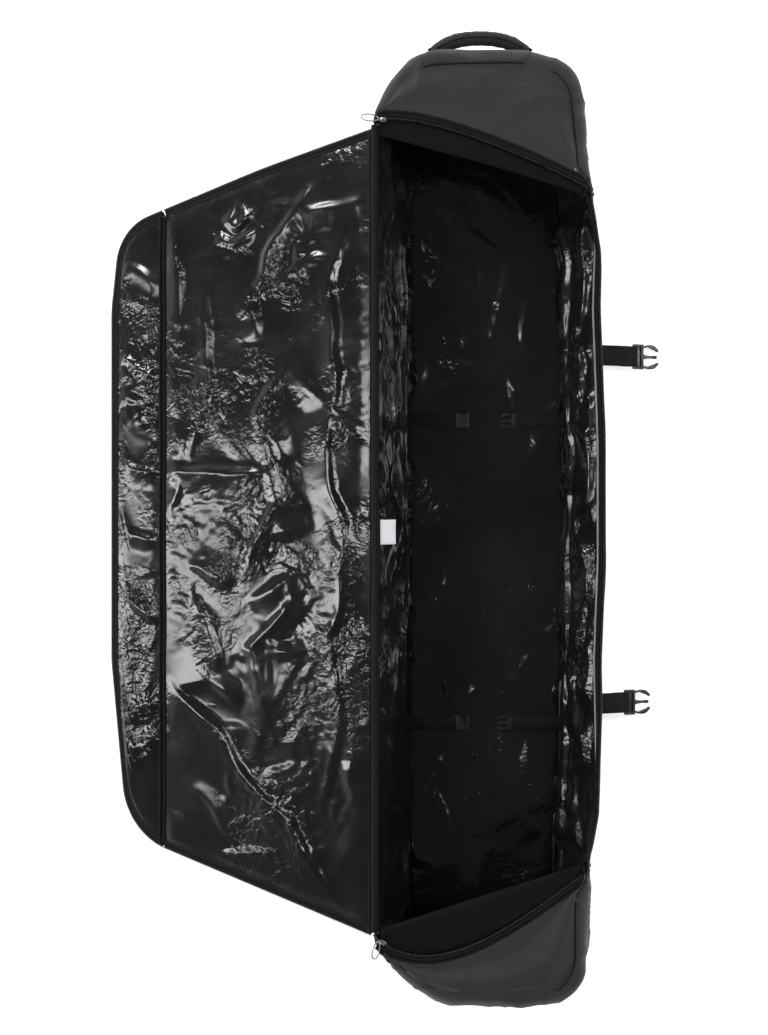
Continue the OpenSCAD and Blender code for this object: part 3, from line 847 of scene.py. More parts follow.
def sew(name, rows, body, pitch=0.0042):
    """Rows of thread as a finished piece."""
    return finish_piece(stitches(name, rows, pitch=pitch), body, "webbing")


# ---------------------------------------------------------------- hoods and end walls
SHOULDER = 0.030
# Points of a hood: columns round the end, rows over its top and down its wall; its side seam starts at
# column HOOD_FRONT.
HOOD_COLS, HOOD_TOP, HOOD_WALL = 150, 46, 34
HOOD_FRONT = 92
GRIP_X = float(sum(corner[0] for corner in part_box("haul_grip"))) / 2
# Where the wire pulls turn over, at the head and at the foot; the hood is kept low round these places.
PULL_SWEEP = {True: (-0.198, 0.693), False: (-0.189, -0.723)}


def end_outline(head):
    """Top outline of one end, from the hinge side round to the front side, evenly spaced."""
    y, start = (HEAD_RIM_Y, HEAD_HINGE_Y) if head else (FOOT_RIM_Y, FOOT_HINGE_Y)
    keep = OUTLINE[(OUTLINE[:, 1] > min(y, start)) if head else (OUTLINE[:, 1] < max(y, start))]
    angle = np.arctan2(keep[:, 0] + 0.02, (keep[:, 1] - (0.45 if head else -0.45)) * (1 if head else -1))
    keep = keep[np.argsort(angle)]
    keep = keep[(np.abs(keep[:, 1]) > abs(start)) | (keep[:, 0] > 0)]
    keep = keep[(keep[:, 0] < 0) | (np.abs(keep[:, 1]) > abs(y))]
    path = np.vstack(((-HALF_W, start), keep, (right_x(y), y)))
    gap = np.linalg.norm(np.diff(path, axis=0), axis=1)
    at = np.concatenate(([0], np.cumsum(gap)))
    s = np.linspace(0, at[-1], HOOD_COLS)
    return np.stack((np.interp(s, at, path[:, 0]), np.interp(s, at, path[:, 1])), -1)


def hood_surface(head):
    """Outer face of one end: points round the end, each row from the rim over the shoulder to the floor."""
    a = np.linspace(0, 1, HOOD_COLS)
    ends = np.minimum(a, 1 - a)
    edge = end_outline(head)
    r0 = rim_pt(rim_curve(head), a, TAPE_W * np.clip(ends * 16, 0, 1)[:, None])
    z_top = WALL_TOP + STACK
    shoulder = SHOULDER * np.clip(ends * 9 + 0.10, 0, 1)
    low = wall_pt(edge[:, 0], edge[:, 1], z_top - shoulder)
    inward = r0 - low[:, :2]
    span = np.linalg.norm(inward, axis=1, keepdims=True)
    inward = inward / np.maximum(span, 1e-9)
    reach = np.minimum(shoulder[:, None], span * 0.8)
    s_in = low[:, :2] + inward * reach
    rows = []
    for b in np.linspace(0, 1, HOOD_TOP):
        crown = math.sin(math.pi * max(0.0, (b - 0.22) / 0.78)) ** 1.7
        puff = 0.011 * crown * np.clip(span[:, 0] / 0.12, 0, 1)
        rows.append(np.column_stack((r0 * (1 - b) + s_in * b, z_top + puff)))
    for t in np.linspace(0, math.pi / 2, 9)[1:]:
        xy = s_in - inward * reach * math.sin(t)
        rows.append(np.column_stack((xy, z_top - shoulder * (1 - math.cos(t)))))
    for f in np.linspace(1, 0, HOOD_WALL)[1:]:
        rows.append(wall_pt(edge[:, 0], edge[:, 1], (z_top - shoulder) * f))
    pts = np.stack(rows, 1)
    b = np.linspace(0, 1, pts.shape[1])[None, :]
    fade = np.clip((b - 0.12) * 6, 0, 1) ** 1.3 * np.clip((1 - b) * 10, 0, 1)
    fade = fade * np.clip(ends[:, None] * 18, 0, 1)
    if head:
        beside = np.clip((0.125 - np.abs(pts[..., 0] - GRIP_X)) / 0.03, 0, 1)
        level = np.clip((0.060 - np.abs(pts[..., 2] - 0.140)) / 0.02, 0, 1)
        fade = fade * (1 - 0.9 * beside * level)
    seed = 21 if head else 37
    soft = 0.0050 * noise(pts, 0.110, seed) + 0.0022 * noise(pts, 0.045, seed + 1)
    creased = 0.0040 * folds(pts, 0.085, seed + 2) + 0.0022 * folds(pts, 0.040, seed + 5)
    pts = pts + normals_up(pts) * ((soft + creased - 0.002) * fade)[..., None]
    away = np.linalg.norm(pts[..., :2] - PULL_SWEEP[head], axis=-1)
    over = pts[..., 2] - (z_top - 0.0006 + 0.3 * np.maximum(away - 0.030, 0))
    pts[..., 2] -= 0.5 * (over + np.sqrt(over**2 + 0.002**2))
    return pts


def normals_up(pts):
    """Normals that point out of the bag's end."""
    n = normals_of(pts)
    middle = n[n.shape[0] // 2, 10]
    return n if middle[2] > 0 else -n


def offset_surface(pts, by):
    """The surface moved into the bag, against its softened outward normals."""
    n = normals_up(pts)
    for _ in range(8):
        n[1:-1] = (n[:-2] + 2 * n[1:-1] + n[2:]) / 4
        n[:, 1:-1] = (n[:, :-2] + 2 * n[:, 1:-1] + n[:, 2:]) / 4
    moved = pts - n / np.linalg.norm(n, axis=-1, keepdims=True) * by
    lowered = np.minimum(moved[..., 2], pts[..., 2] - 0.0020)
    moved[..., 2] = np.where(pts[..., 2] > WALL_TOP + 0.004, lowered, moved[..., 2])
    return moved


# ---------------------------------------------------------------- the base's ends
def build_ends():
    for tag, head in ENDS:
        outer = hood_surface(head)
        flip = normals_of(outer)[HOOD_COLS // 2, 10][2] < 0
        shell = sheet_object(f"{tag}_hood_fabric", outer, MAT["hood"], 0.0016, flip)
        finish_piece(shell, "base", "hood_fabric", f"{tag}_hood_shell", f"{tag}_wall_shell")
        inside = offset_surface(outer, 0.0040)[12:-12:2, 6:-2:2]
        foam = sheet_object(f"{tag}_padding", inside, MAT["foam"], 0.0018, flip)
        finish_piece(foam, "base", "foam", f"{tag}_hood_foam", f"{tag}_wall_foam")
        at = np.linspace(0, 1, HOOD_COLS)
        ends = np.minimum(at, 1 - at)
        depth = 0.0022 + 0.0064 * np.clip(9 * ends + 0.10, 0, 1)
        rucks = 0.004 * folds(outer, 0.08, 51) * np.clip(12 * ends - 0.6, 0, 1)[:, None]
        inner = offset_surface(outer, (depth[:, None] + rucks)[..., None])[1:-1:2, 2:-1:2]
        lining = sheet_object(f"{tag}_hood_film", inner, MAT["lining"], 0.0, not flip)
        finish_piece(lining, "base", "lining_film", f"{tag}_hood_lining", f"{tag}_wall_lining")


def rim_line(head, off, z):
    """The hood's rim moved by off towards the end of the bag, at height z, dipping at the front."""
    t = np.linspace(0.018, 0.972, 90)
    dip = 0.0010 * np.clip((t - 0.930) / 0.042, 0, 1) ** 2
    return np.column_stack((rim_pt(rim_curve(head), t, off), z - dip))


def build_rims():
    top = WALL_TOP + STACK
    for tag, head in ENDS:
        sign = 1 if head else -1
        middle = rim_line(head, TAPE_W / 2, top - 0.0012)
        middle[:, 2] += 0.0004 * noise(middle, 0.05, 3)
        band = flat_section(TAPE_W + 0.002, 0.0030, -0.0014)
        tape = sweep(f"{tag}_rim_tape", middle, UP, band, MAT["tape"])
        edge = rim_line(head, 0.0002, top - 0.0050)
        face = sweep(f"{tag}_rim_face", edge, UP, flat_section(0.0014, 0.0052), MAT["binding"])
        teeth = coil(f"{tag}_rim_coil", rim_line(head, -0.0012, top - 0.0018), UP)
        rows = [(rim_line(head, off, top + 0.0007), UP) for off in (TAPE_W - 0.0015, 0.0042)]
        sewn = stitches(f"{tag}_rim_stitch", rows)
        tape = join(f"{tag}_rim_tape", [tape, face])
        finish_piece(tape, "base", "zip_tape", f"{tag}_zip_tape")
        finish_piece(teeth, "base", "buckle_plastic")
        finish_piece(sewn, "base", "webbing")
        ts = np.linspace(0.025, 0.965, 90)
        outer = rim_pt(rim_curve(head), ts, 0.003)
        x = bezier(rim_curve(head), ts)[:, 0]
        inner = np.column_stack((x, lid_edge_v(x + HALF_W, head) - sign * 0.009))
        rows = []
        for f in np.linspace(0, 1, 7):
            xy = outer * (1 - f) + inner * f
            z = WALL_TOP - 0.0006 - 0.0022 * f + 0.0004 * noise(np.column_stack((xy, 0 * ts)), 0.03, 9)
            rows.append(np.column_stack((xy, z)))
        pts = np.stack(rows, 1)
        flap = sheet_object(f"{tag}_flap", pts, MAT["tape"], 0.0009, head)
        finish_piece(flap, "base", "zip_tape", f"{tag}_storm_flap")


# ---------------------------------------------------------------- floor, side walls and their linings


def surface_film(name, base, disp, body):
    """The crumpled lining of a panel: base, its smooth surface, moved by disp."""
    film = sheet_object(f"{name}_film", drape(base, disp), MAT["lining"])
    soften = film.modifiers.new("smooth", "SUBSURF")
    soften.levels = 1
    soften.render_levels = 1
    apply_modifiers(film)
    film.data.polygons.foreach_set("use_smooth", [True] * len(film.data.polygons))
    finish_piece(film, body, "lining_film", f"{name}_lining")


def base_fabric(name, pts, thick, flip, uneven=0.0, seed=1):
    """An outer panel of the base, uneven by that many metres."""
    if uneven:
        pts = pts + normals_of(pts) * (uneven * noise(pts, 0.09, seed))[..., None]
    panel = sheet_object(f"{name}_fabric", pts, MAT["shell"], thick, flip)
    finish_piece(panel, "base", "shell_fabric", f"{name}_shell")


def base_foam(name, pts, thick, flip=False):
    pad = sheet_object(f"{name}_padding", pts, MAT["foam"], thick, flip)
    finish_piece(pad, "base", "foam", f"{name}_foam")


def build_base_panels(disp):
    """Film, fabric and foam of the two side walls and the floor."""
    full, inset = np.linspace(0, 1, 24), np.linspace(0.02, 0.98, 8)
    hinge_film = hinge_surface(HINGE_YS, np.linspace(1, 0, HINGE_ROWS), STACK).transpose(1, 0, 2)
    surface_film("hinge_wall", hinge_film, disp["hinge_wall"], "base")
    front_film = front_surface(FRONT_YS, np.linspace(0, 1, FRONT_ROWS), STACK).transpose(1, 0, 2)
    surface_film("front_wall", front_film, disp["front_wall"], "base")
    surface_film("floor", floor_surface(*FLOOR_GRID, STACK, STACK), disp["floor"], "base")
    base_fabric("hinge_wall", hinge_surface(HINGE_YS, full, 0.0), 0.0014, True, 0.0015, 61)
    base_foam("hinge_wall", hinge_surface(HINGE_YS, inset, 0.0020), 0.0046, True)
    base_fabric("front_wall", front_surface(FRONT_YS, full, 0.0, 0.0), 0.0014, False, 0.0018, 62)
    base_foam("front_wall", front_surface(FRONT_YS, inset, 0.0020), 0.0046)
    base_fabric("floor", floor_surface(30, 120, 0.0, 0.0), 0.0012, True)
    base_foam("floor", floor_surface(30, 120, 0.004, 0.0070), 0.0050)


def build_front_rim():
    ys = np.linspace(FOOT_RIM_Y + 0.004, HEAD_RIM_Y - 0.004, 160)
    z = zip_height(ys)
    x = right_x(ys)
    low = wall_pt(x, ys, z - TAPE_W, 0.0028)
    high = wall_pt(x, ys, z, 0.0028)
    middle = (low + high) / 2
    outward = np.cross(np.gradient(middle, axis=0), high - low)
    outward /= np.linalg.norm(outward, axis=1, keepdims=True)
    outward *= np.sign(outward[:, :1])
    tape = sweep("front_rim_tape", middle, outward, flat_section(TAPE_W, 0.0026, -0.0020), MAT["tape"])
    cap = wall_pt(x, ys, z + 0.0002, 0.0045)
    lip = sweep("front_rim_lip", cap, UP, flat_section(0.0095, 0.0024, -0.0018), MAT["binding"])
    finish_piece(join("front_rim_tape", [tape, lip]), "base", "zip_tape", "front_zip_tape")
    teeth = coil("front_rim_coil", wall_pt(x, ys, z + 0.0006, 0.0022), UP)
    finish_piece(teeth, "base", "buckle_plastic")
    rows = [(wall_pt(x, ys, z - TAPE_W + 0.002, 0.0018), outward), (wall_pt(x, ys, z + 0.0008, 0.0078), UP)]
    sew("front_rim_stitch", rows, "base")


def build_hinge_strip():
    """Fabric-covered piping along the hinge line, with a flange down to the wall's lining."""
    ys = np.linspace(-0.688, 0.680, 190)
    sway = 0.0004 * noise(np.column_stack((0 * ys, ys, 0 * ys)), 0.08, 4)
    angles = np.linspace(math.pi * 1.22, -math.pi * 0.20, 17)
    outline = [(0.0037 * np.cos(t), HINGE_Z + 0.0037 * math.sin(t)) for t in angles]
    outline += [(0.0056, 0.1976), (0.0084, 0.1965), (0.0098, 0.1905)]
    pts = np.stack([np.column_stack((-HALF_W + dx + sway, ys, z + 0 * ys)) for dx, z in outline], 0)
    strip = sheet_object("hinge_cover", pts, MAT["piping"], 0.0009)
    finish_piece(strip, "base", "piping", "hinge_piping")
    low = np.column_stack((-HALF_W + 0.0068 + sway, ys, 0.1973 + 0 * ys))
    sew("hinge_cover_stitch", [(low, (0.34, 0, 0.94))], "base")


def build_lid_hinge_binding():
    """Binding wrapped round the lid's edge beside the hinge line."""
    v = np.linspace(-0.687, 0.667, 160)
    path = [(0.0105, -0.0006), (0.0075, -0.0010), (0.0052, -0.0008), (0.0043, 0.0006), (0.0042, 0.0040),
            (0.0043, 0.0074), (0.0054, 0.0090), (0.0080, 0.0093), (0.0110, 0.0090)]
    pts = np.stack([lid_pt(u, v, t) for u, t in path], 0)
    wrap = sheet_object("lid_hinge_binding", pts, MAT["piping"], 0.0007)
    finish_piece(wrap, "lid", "piping")
    rows = [(lid_pt(0.0088, v, -0.0011), LID_UP), (lid_pt(0.0092, v, 0.0093), -LID_UP)]
    sew("lid_hinge_stitch", rows, "lid")


def build_wall_joins():
    """Bound seams where the side walls meet the end walls, inside, and the seams that show outside."""
    z = np.linspace(0.010, WALL_TOP - 0.006, 26)
    front = ((-1, 0, 0.1), z[z < WALL_TOP - 0.020], -0.0002, 0.0014)
    hinge = ((1, 0, 0.2), z, -0.0006, 0.0018)
    for name, x, y, (over, rise, out, radius) in (
            ("head_front", right_x(HEAD_RIM_Y), HEAD_RIM_Y, front),
            ("foot_front", right_x(FOOT_RIM_Y), FOOT_RIM_Y, front),
            ("head_hinge", -HALF_W, HEAD_HINGE_Y, hinge), ("foot_hinge", -HALF_W, FOOT_HINGE_Y, hinge)):
        inside = wall_pt(x, y, z, STACK + 0.0022)
        strip = sweep(f"{name}_join", inside, over, flat_section(0.020, 0.0030, -0.0010), MAT["binding"])
        finish_piece(strip, "base", "piping")
        seam = tube(f"{name}_seam", wall_pt(x, y, rise, out), radius, MAT["piping"], 8)
        finish_piece(seam, "base", "piping")
    floor = resample(wall_pt(OUTLINE[:, 0], OUTLINE[:, 1], 0.0105, STACK + 0.0015), 0.008, closed=True)
    bead = tube("floor_inner_seam", floor, 0.0026, MAT["binding"], 8, closed=True)
    finish_piece(bead, "base", "piping")
    for tag, head in ENDS:
        pts = hood_surface(head)
        out = normals_up(pts)
        run = pts[HOOD_FRONT:, HOOD_TOP - 1] + out[HOOD_FRONT:, HOOD_TOP - 1] * 0.0003
        seam = tube(f"{tag}_side_seam", resample(run, 0.003), 0.0009, MAT["binding"], 8)
        finish_piece(seam, "base", "hood_fabric")
        row = pts[HOOD_FRONT:, HOOD_TOP - 3] + out[HOOD_FRONT:, HOOD_TOP - 3] * 0.0002
        sew(f"{tag}_side_stitch", [(row, UP)], "base")


def build_bottom_seam():
    loop = resample(wall_pt(OUTLINE[:, 0], OUTLINE[:, 1], 0.004, -0.0005), 0.008, closed=True)
    seam = tube("bottom_seam", loop, 0.0021, MAT["piping"], 8, closed=True)
    finish_piece(seam, "base", "piping")


# ---------------------------------------------------------------- the lid and its side
def creases(uv, lines):
    """Heights of folds along lines of (points, height, half width): steep on one side, long on the other."""
    total = np.zeros(uv.shape[:2])
    q = np.dstack((uv, 0 * uv[..., :1]))
    p = uv + 0.012 * np.dstack((noise(q, 0.07, 71), noise(q, 0.07, 72)))
    for k, (pts, height, half) in enumerate(lines):
        pts = np.asarray(pts, float)
        best = np.full(uv.shape[:2], 9.0)
        side = np.ones(uv.shape[:2])
        end = np.ones(uv.shape[:2])
        run = np.concatenate(([0], np.cumsum(np.linalg.norm(np.diff(pts, axis=0), axis=1))))
        for i in range(len(pts) - 1):
            a, ab = pts[i], pts[i + 1] - pts[i]
            t = np.clip(((p - a) @ ab) / (ab @ ab), 0, 1)
            away = p - (a + t[..., None] * ab)
            d = np.linalg.norm(away, axis=-1)
            near = d < best
            best = np.where(near, d, best)
            side = np.where(near, np.sign(away[..., 0] * ab[1] - away[..., 1] * ab[0]), side)
            s_at = (run[i] + t * np.linalg.norm(ab)) / run[-1]
            end = np.where(near, np.clip(np.minimum(s_at, 1 - s_at) * 5, 0, 1) ** 0.7, end)
        reach = np.where(side * (1 if k % 2 else -1) > 0, half * 0.75, half * 3.4)
        total = np.maximum(total, height * (0.25 + 0.75 * end) * np.clip(1 - best / reach, 0, 1) ** 1.25)
    return total


LID_CREASES = [
    (((0.190, 0.090), (0.300, 0.100), (0.392, 0.097)), 0.0085, 0.016),
    (((0.392, -0.262), (0.230, -0.430), (0.061, -0.635)), 0.0100, 0.020),
    (((0.117, 0.575), (0.170, 0.500), (0.230, 0.407)), 0.0080, 0.014),
    (((0.225, 0.545), (0.255, 0.520), (0.290, 0.540)), 0.0070, 0.012),
    (((0.210, 0.505), (0.262, 0.500), (0.300, 0.515)), 0.0060, 0.010),
    (((0.060, 0.520), (0.082, 0.400), (0.055, 0.270), (0.085, 0.130), (0.052, -0.030), (0.078, -0.190),
      (0.055, -0.330), (0.080, -0.470)), 0.0075, 0.013),
    (((0.150, 0.300), (0.215, 0.180), (0.180, 0.040), (0.250, -0.090)), 0.0060, 0.014),
    (((0.330, 0.420), (0.300, 0.250), (0.345, 0.120)), 0.0065, 0.015),
    (((0.140, -0.120), (0.230, -0.220), (0.190, -0.350)), 0.0060, 0.013),
    (((0.340, -0.120), (0.280, -0.250)), 0.0060, 0.012),
]
SIDE_CREASES = [
    (((0.405, 0.097), (0.485, 0.100)), 0.0060, 0.012),
    (((0.478, 0.470), (0.412, 0.420)), 0.0070, 0.010),
    (((0.470, 0.400), (0.410, 0.370)), 0.0060, 0.010),
    (((0.486, 0.300), (0.412, 0.270)), 0.0050, 0.010),
    (((0.478, -0.420), (0.410, -0.380)), 0.0070, 0.010),
    (((0.485, -0.330), (0.412, -0.300)), 0.0060, 0.010),
    (((0.486, -0.130), (0.412, -0.160)), 0.0050, 0.011),
    (((0.486, 0.000), (0.412, -0.020)), 0.0045, 0.011),
]


def lid_panels():
    """Flat places (u, v) of the lid's top and of its side, running towards the hinge."""
    top = lid_grid(0.0055, FOLD_U - 0.0035, TAPE_W)[::-1]
    side = lid_grid(FOLD_U + 0.0035, 0.4935, TAPE_W)[::-1]
    return top, side


def build_lid(disp):
    """Film, foam and fabric of the lid and of its side."""
    top, side = lid_panels()
    for tag, uv, flat in (("lid", top, (0.400, 1.37)), ("lid_side", side, (0.092, 1.14))):
        surface_film(tag, lid_pt(uv[..., 0], uv[..., 1], 0.0), disp[tag], tag)
        coarse = uv[::2, ::3]
        foam = lid_pt(coarse[..., 0], coarse[..., 1], 0.0012)
        pad = sheet_object(f"{tag}_padding", foam, MAT["foam"], 0.0050)
        finish_piece(pad, tag, "foam", f"{tag}_foam")
        under = lid_pt(uv[..., 0], uv[..., 1], STACK)
        under = under - normals_of(under) * (0.0016 * noise(under, 0.10, 81))[..., None]
        shell = sheet_object(f"{tag}_fabric", under, MAT["shell"], 0.0013, True)
        finish_piece(shell, tag, "shell_fabric", f"{tag}_shell")


def edge_path(body):
    """The part of the lid's free edge on the lid or on its side, as runs of (u, v) points."""
    edge = resample(LID_EDGE, 0.003, closed=True)
    if body == "lid_side":
        run = edge[edge[:, 0] > FOLD_U + 0.0006]
        order = np.argsort(np.arctan2(run[:, 1] * 0.4, run[:, 0] - 0.3))
        return [run[order]]
    runs = []
    for head in (False, True):
        run = edge[(edge[:, 0] > 0.004) & (edge[:, 0] < FOLD_U - 0.0004) & ((edge[:, 1] > 0) == head)]
        runs.append(run[np.argsort(run[:, 0])])
    return runs


def edge_line(run, by, t):
    """The run of the lid's edge moved by by towards the lid's middle, t to its shell side."""
    along = np.gradient(run, axis=0)
    along /= np.linalg.norm(along, axis=1, keepdims=True)
    normal = np.stack((-along[:, 1], along[:, 0]), -1)
    normal *= np.sign(np.sum((np.array((0.25, 0.0)) - run) * normal, 1, keepdims=True))
    uv = run + normal * by
    return lid_pt(uv[:, 0], uv[:, 1], t)


def build_lid_edges():
    for body in ("lid", "lid_side"):
        tapes, teeth, rows = [], [], []
        for k, run in enumerate(edge_path(body)):
            for at, wide, thick, low, mat in ((0.0068, 0.0125, 0.0022, -0.0026, "tape"),
                                              (0.0125, 0.0058, 0.0020, 0.0002, "binding"),
                                              (0.0075, 0.0120, 0.0022, -0.0092, "tape")):
                tapes.append(sweep(f"{body}_tape_{k}_{at}", edge_line(run, at, 0.0), LID_UP,
                                   flat_section(wide, thick, low), MAT[mat]))
            teeth.append(coil(f"{body}_coil_{k}", edge_line(run, 0.0008, 0.0024), LID_UP))
            for at, t in ((0.0115, -0.0022), (0.0140, -0.0022), (0.0045, 0.0004)):
                rows.append((edge_line(run, at, t), LID_UP))
        finish_piece(join(f"{body}_edge_tape", tapes), body, "zip_tape", f"{body}_zip_tape")
        finish_piece(join(f"{body}_edge_coil", teeth), body, "buckle_plastic")
        sew(f"{body}_edge_stitch", rows, body)


def fold_strip(name, pts, material, thick, *nodes):
    """A strip along the fold between the lid and its side, riding on no body, its place baked into its
    points.
    """
    strip = sheet_object(name, pts, material, thick)
    finish_piece(strip, None, "piping", *nodes)
    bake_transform(strip)
    return strip


def build_fold_seam():
    v = np.linspace(-0.556, 0.545, 170)
    sway = 0.0007 * noise(np.column_stack((v, 0 * v, 0 * v)), 0.06, 6)
    rows = []
    for du in np.linspace(-0.0085, 0.0085, 15):
        swell = max(0.0, 1 - ((abs(du) - 0.0042) / 0.0030) ** 2) ** 0.5
        rows.append(lid_pt(FOLD_U + du + sway, v, -0.0006 - 0.0034 * swell))
    pts = np.stack(rows[::-1], 0)
    strip = fold_strip("lid_fold_binding", pts, MAT["binding"], 0.0012, "lid_seam_piping")
    for name, du, body in (("lid_fold_stitch", -0.0072, "lid"), ("lid_side_fold_stitch", 0.0072, "lid_side")):
        sew(name, [(lid_pt(FOLD_U + du + sway, v, -0.0008), LID_UP)], body)
    under = np.stack([lid_pt(FOLD_U + du, v, STACK + 0.0004) for du in np.linspace(-0.008, 0.008, 7)], 0)
    outer = fold_strip("lid_fold_outer", under, MAT["piping"], 0.0010)


# ---------------------------------------------------------------- side-release buckles, in their own frame
def bar_piece(name, x0, y0, x1, y1, z0, z1, r=0.0015, bevel=0.0007):
    return plate(name, box_outline(x0, y0, x1, y1, r), z0, z1, MAT["plastic"], bevel)


def side_bar(name, s, x0, x1, y0, y1, z0, z1):
    """A bar from y0 to y1 on the side s, which is 1 or -1."""
    return bar_piece(name, x0, min(s * y0, s * y1), x1, max(s * y0, s * y1), z0, z1)


def male_buckle(name, k=1.0):
    """Prongs forward along x; the webbing comes in at x = 0. Sizes follow the body's width of 44 mm."""
    parts = [bar_piece(f"{name}_a", -0.006, -0.022, -0.002, 0.022, 0.0, 0.0066),
             bar_piece(f"{name}_b", 0.0012, -0.022, 0.0092, 0.022, 0.0004, 0.0046),
             bar_piece(f"{name}_c", 0.0085, -0.022, 0.0140, 0.022, 0.0, 0.0070)]
    for s in (-1, 1):
        parts.append(side_bar(f"{name}_side{s}", s, -0.006, 0.0140, 0.0185, 0.022, 0.0, 0.0070))
        outer, inner = [], []
        for t in np.linspace(0, 1, 15):
            x = 0.0130 + 0.0330 * t
            y = 0.0182 + 0.0034 * math.sin(math.pi * min(1, t * 1.05)) - 0.0046 * max(0, (t - 0.75) / 0.25)
            w = 0.0036 + 0.0034 * math.sin(math.pi * min(1, max(0, (t - 0.35) / 0.65))) + 0.0008 * t
            outer.append((x, s * y))
            inner.append((x, s * (y - w)))
        outline = outer + inner[::-1]
        parts.append(plate(f"{name}_arm{s}", outline[::-s], 0.0010, 0.0060, MAT["plastic"], 0.0006))
    half = [(0.013, 0.0060), (0.018, 0.0034), (0.029, 0.0022), (0.041, 0.0032), (0.0435, 0.0016)]
    guide = [(x, -y) for x, y in half] + half[::-1]
    parts.append(plate(f"{name}_guide", guide, 0.0016, 0.0054, MAT["plastic"], 0.0006))
    for x in (0.0098, 0.0112, 0.0126):
        parts.append(bar_piece(f"{name}_rib{x}", x - 0.0003, -0.015, x + 0.0003, 0.015, 0.0066, 0.0074,
                               0.0002, 0.0001))
    return scaled(join(name, parts), k)


def female_buckle(name, k=1.0):
    """The mouth faces along +x; the webbing bar is at x = 0."""
    half = 0.023
    side = [(0.004, half - 0.0005), (0.012, half), (0.018, half - 0.0035), (0.031, half - 0.0035),
            (0.038, half), (0.043, half - 0.0010)]
    outline = side + [(x, -y) for x, y in side[::-1]]
    parts = []
    for tag, z0, z1 in (("low", 0.0, 0.0026), ("top", 0.0090, 0.0116)):
        parts.append(plate(f"{name}_{tag}", outline[::-1], z0, z1, MAT["plastic"], 0.0010))
    for s in (-1, 1):
        for x0, x1 in ((0.006, 0.015), (0.034, 0.0425)):
            parts.append(side_bar(f"{name}_post{s}{x0}", s, x0, x1, 0.0200, 0.0222, 0.0020, 0.0096))
    parts.append(bar_piece(f"{name}_web", 0.006, -0.021, 0.0085, 0.021, 0.0020, 0.0096))
    parts.append(bar_piece(f"{name}_bar", -0.0010, -0.021, 0.0025, 0.021, 0.0030, 0.0070))
    for s in (-1, 1):
        parts.append(side_bar(f"{name}_lug{s}", s, -0.0010, 0.0080, 0.0185, 0.0222, 0.0016, 0.0100))
    for y in (-0.006, -0.002, 0.002, 0.006):
        parts.append(bar_piece(f"{name}_rib{y}", 0.036, y - 0.0007, 0.0415, y + 0.0007, 0.0112, 0.0121,
                               0.0004, 0.0002))
    return scaled(join(name, parts), k)


def scaled(obj, k):
    return moved_verts(obj, lambda co: co * k) if k != 1.0 else obj


def box_stitch(centre, x_axis, y_axis, length, width):
    """A rectangle of thread with a cross in it, as runs of points."""
    c, x, y = (np.asarray(v, float) for v in (centre, x_axis, y_axis))
    corner = [c + sx * x * length / 2 + sy * y * width / 2 for sx, sy in ((-1, -1), (1, -1), (1, 1), (-1, 1))]
    runs = [np.array((corner[i], corner[(i + 1) % 4])) for i in range(4)]
    return runs + [np.array((corner[0], corner[2])), np.array((corner[1], corner[3]))]


def strap_frame(origin, x_axis, z_axis):
    x = unit(np.asarray(x_axis, float))
    z = np.asarray(z_axis, float)
    z = unit(z - x * (z @ x))
    return np.asarray(origin, float), x, np.cross(z, x), z


def web_path(frame, pts):
    """Points given as (along, over) in a strap's frame, joined by short straight steps."""
    o, x, _, z = frame
    pts = np.asarray(pts, float)
    return resample(o + pts[:, :1] * x + pts[:, 1:] * z, 0.002)


def webbing_strip(name, frame, pts, width, thick=0.0018):
    y = frame[2]
    path = web_path(frame, pts)
    t = np.gradient(path, axis=0)
    over = np.cross(t, np.broadcast_to(y, t.shape))
    return sweep(name, path, over, flat_section(width, thick, -thick / 2), MAT["webbing"])


def rounded_bend(x, z0, z1, n=9):
    """A half turn from height z0 to z1 round the bar at x."""
    r = (z1 - z0) / 2
    a = np.linspace(-math.pi / 2, math.pi / 2, n)
    return [(x + r * math.cos(t), (z0 + z1) / 2 + r * math.sin(t)) for t in a]


def build_outer_straps():
    tilt = math.radians(27)
    ahead, out = (math.cos(tilt), 0, -math.sin(tilt)), (math.sin(tilt), 0, math.cos(tilt))
    for tag, y0, x0, reach in (("head", FRONT_Y[0], 0.182368, 0.088), ("foot", FRONT_Y[1], 0.178317, 0.075)):
        fr = strap_frame((x0, y0, 0.065), ahead, out)
        o, x, y, z = fr
        path = [(0.002, 0.0012), (reach * 0.35, 0.0030), (reach * 0.65, 0.0034), (reach - 0.006, 0.0024)]
        path += rounded_bend(reach - 0.0005, -0.0020, 0.0024)[::-1]
        path += [(reach - 0.012, -0.0024), (reach - 0.032, -0.0018)]
        strip = webbing_strip(f"{tag}_outer_webbing", fr, path, STRAP_W)
        finish_piece(strip, f"{tag}_strap", "webbing", f"{tag}_outer_strap")
        sewn_box(f"{tag}_outer_stitch", o + x * (reach - 0.026) + z * 0.0036, z, x, y, 0.014, 0.028,
                 f"{tag}_strap", pitch=0.0036, lift=0.0008)
        buckle = placed(male_buckle(f"{tag}_prong_buckle"), o + x * reach - z * 0.0035, x, z)
        finish_piece(buckle, f"{tag}_strap", "buckle_plastic", f"{tag}_male_buckle")


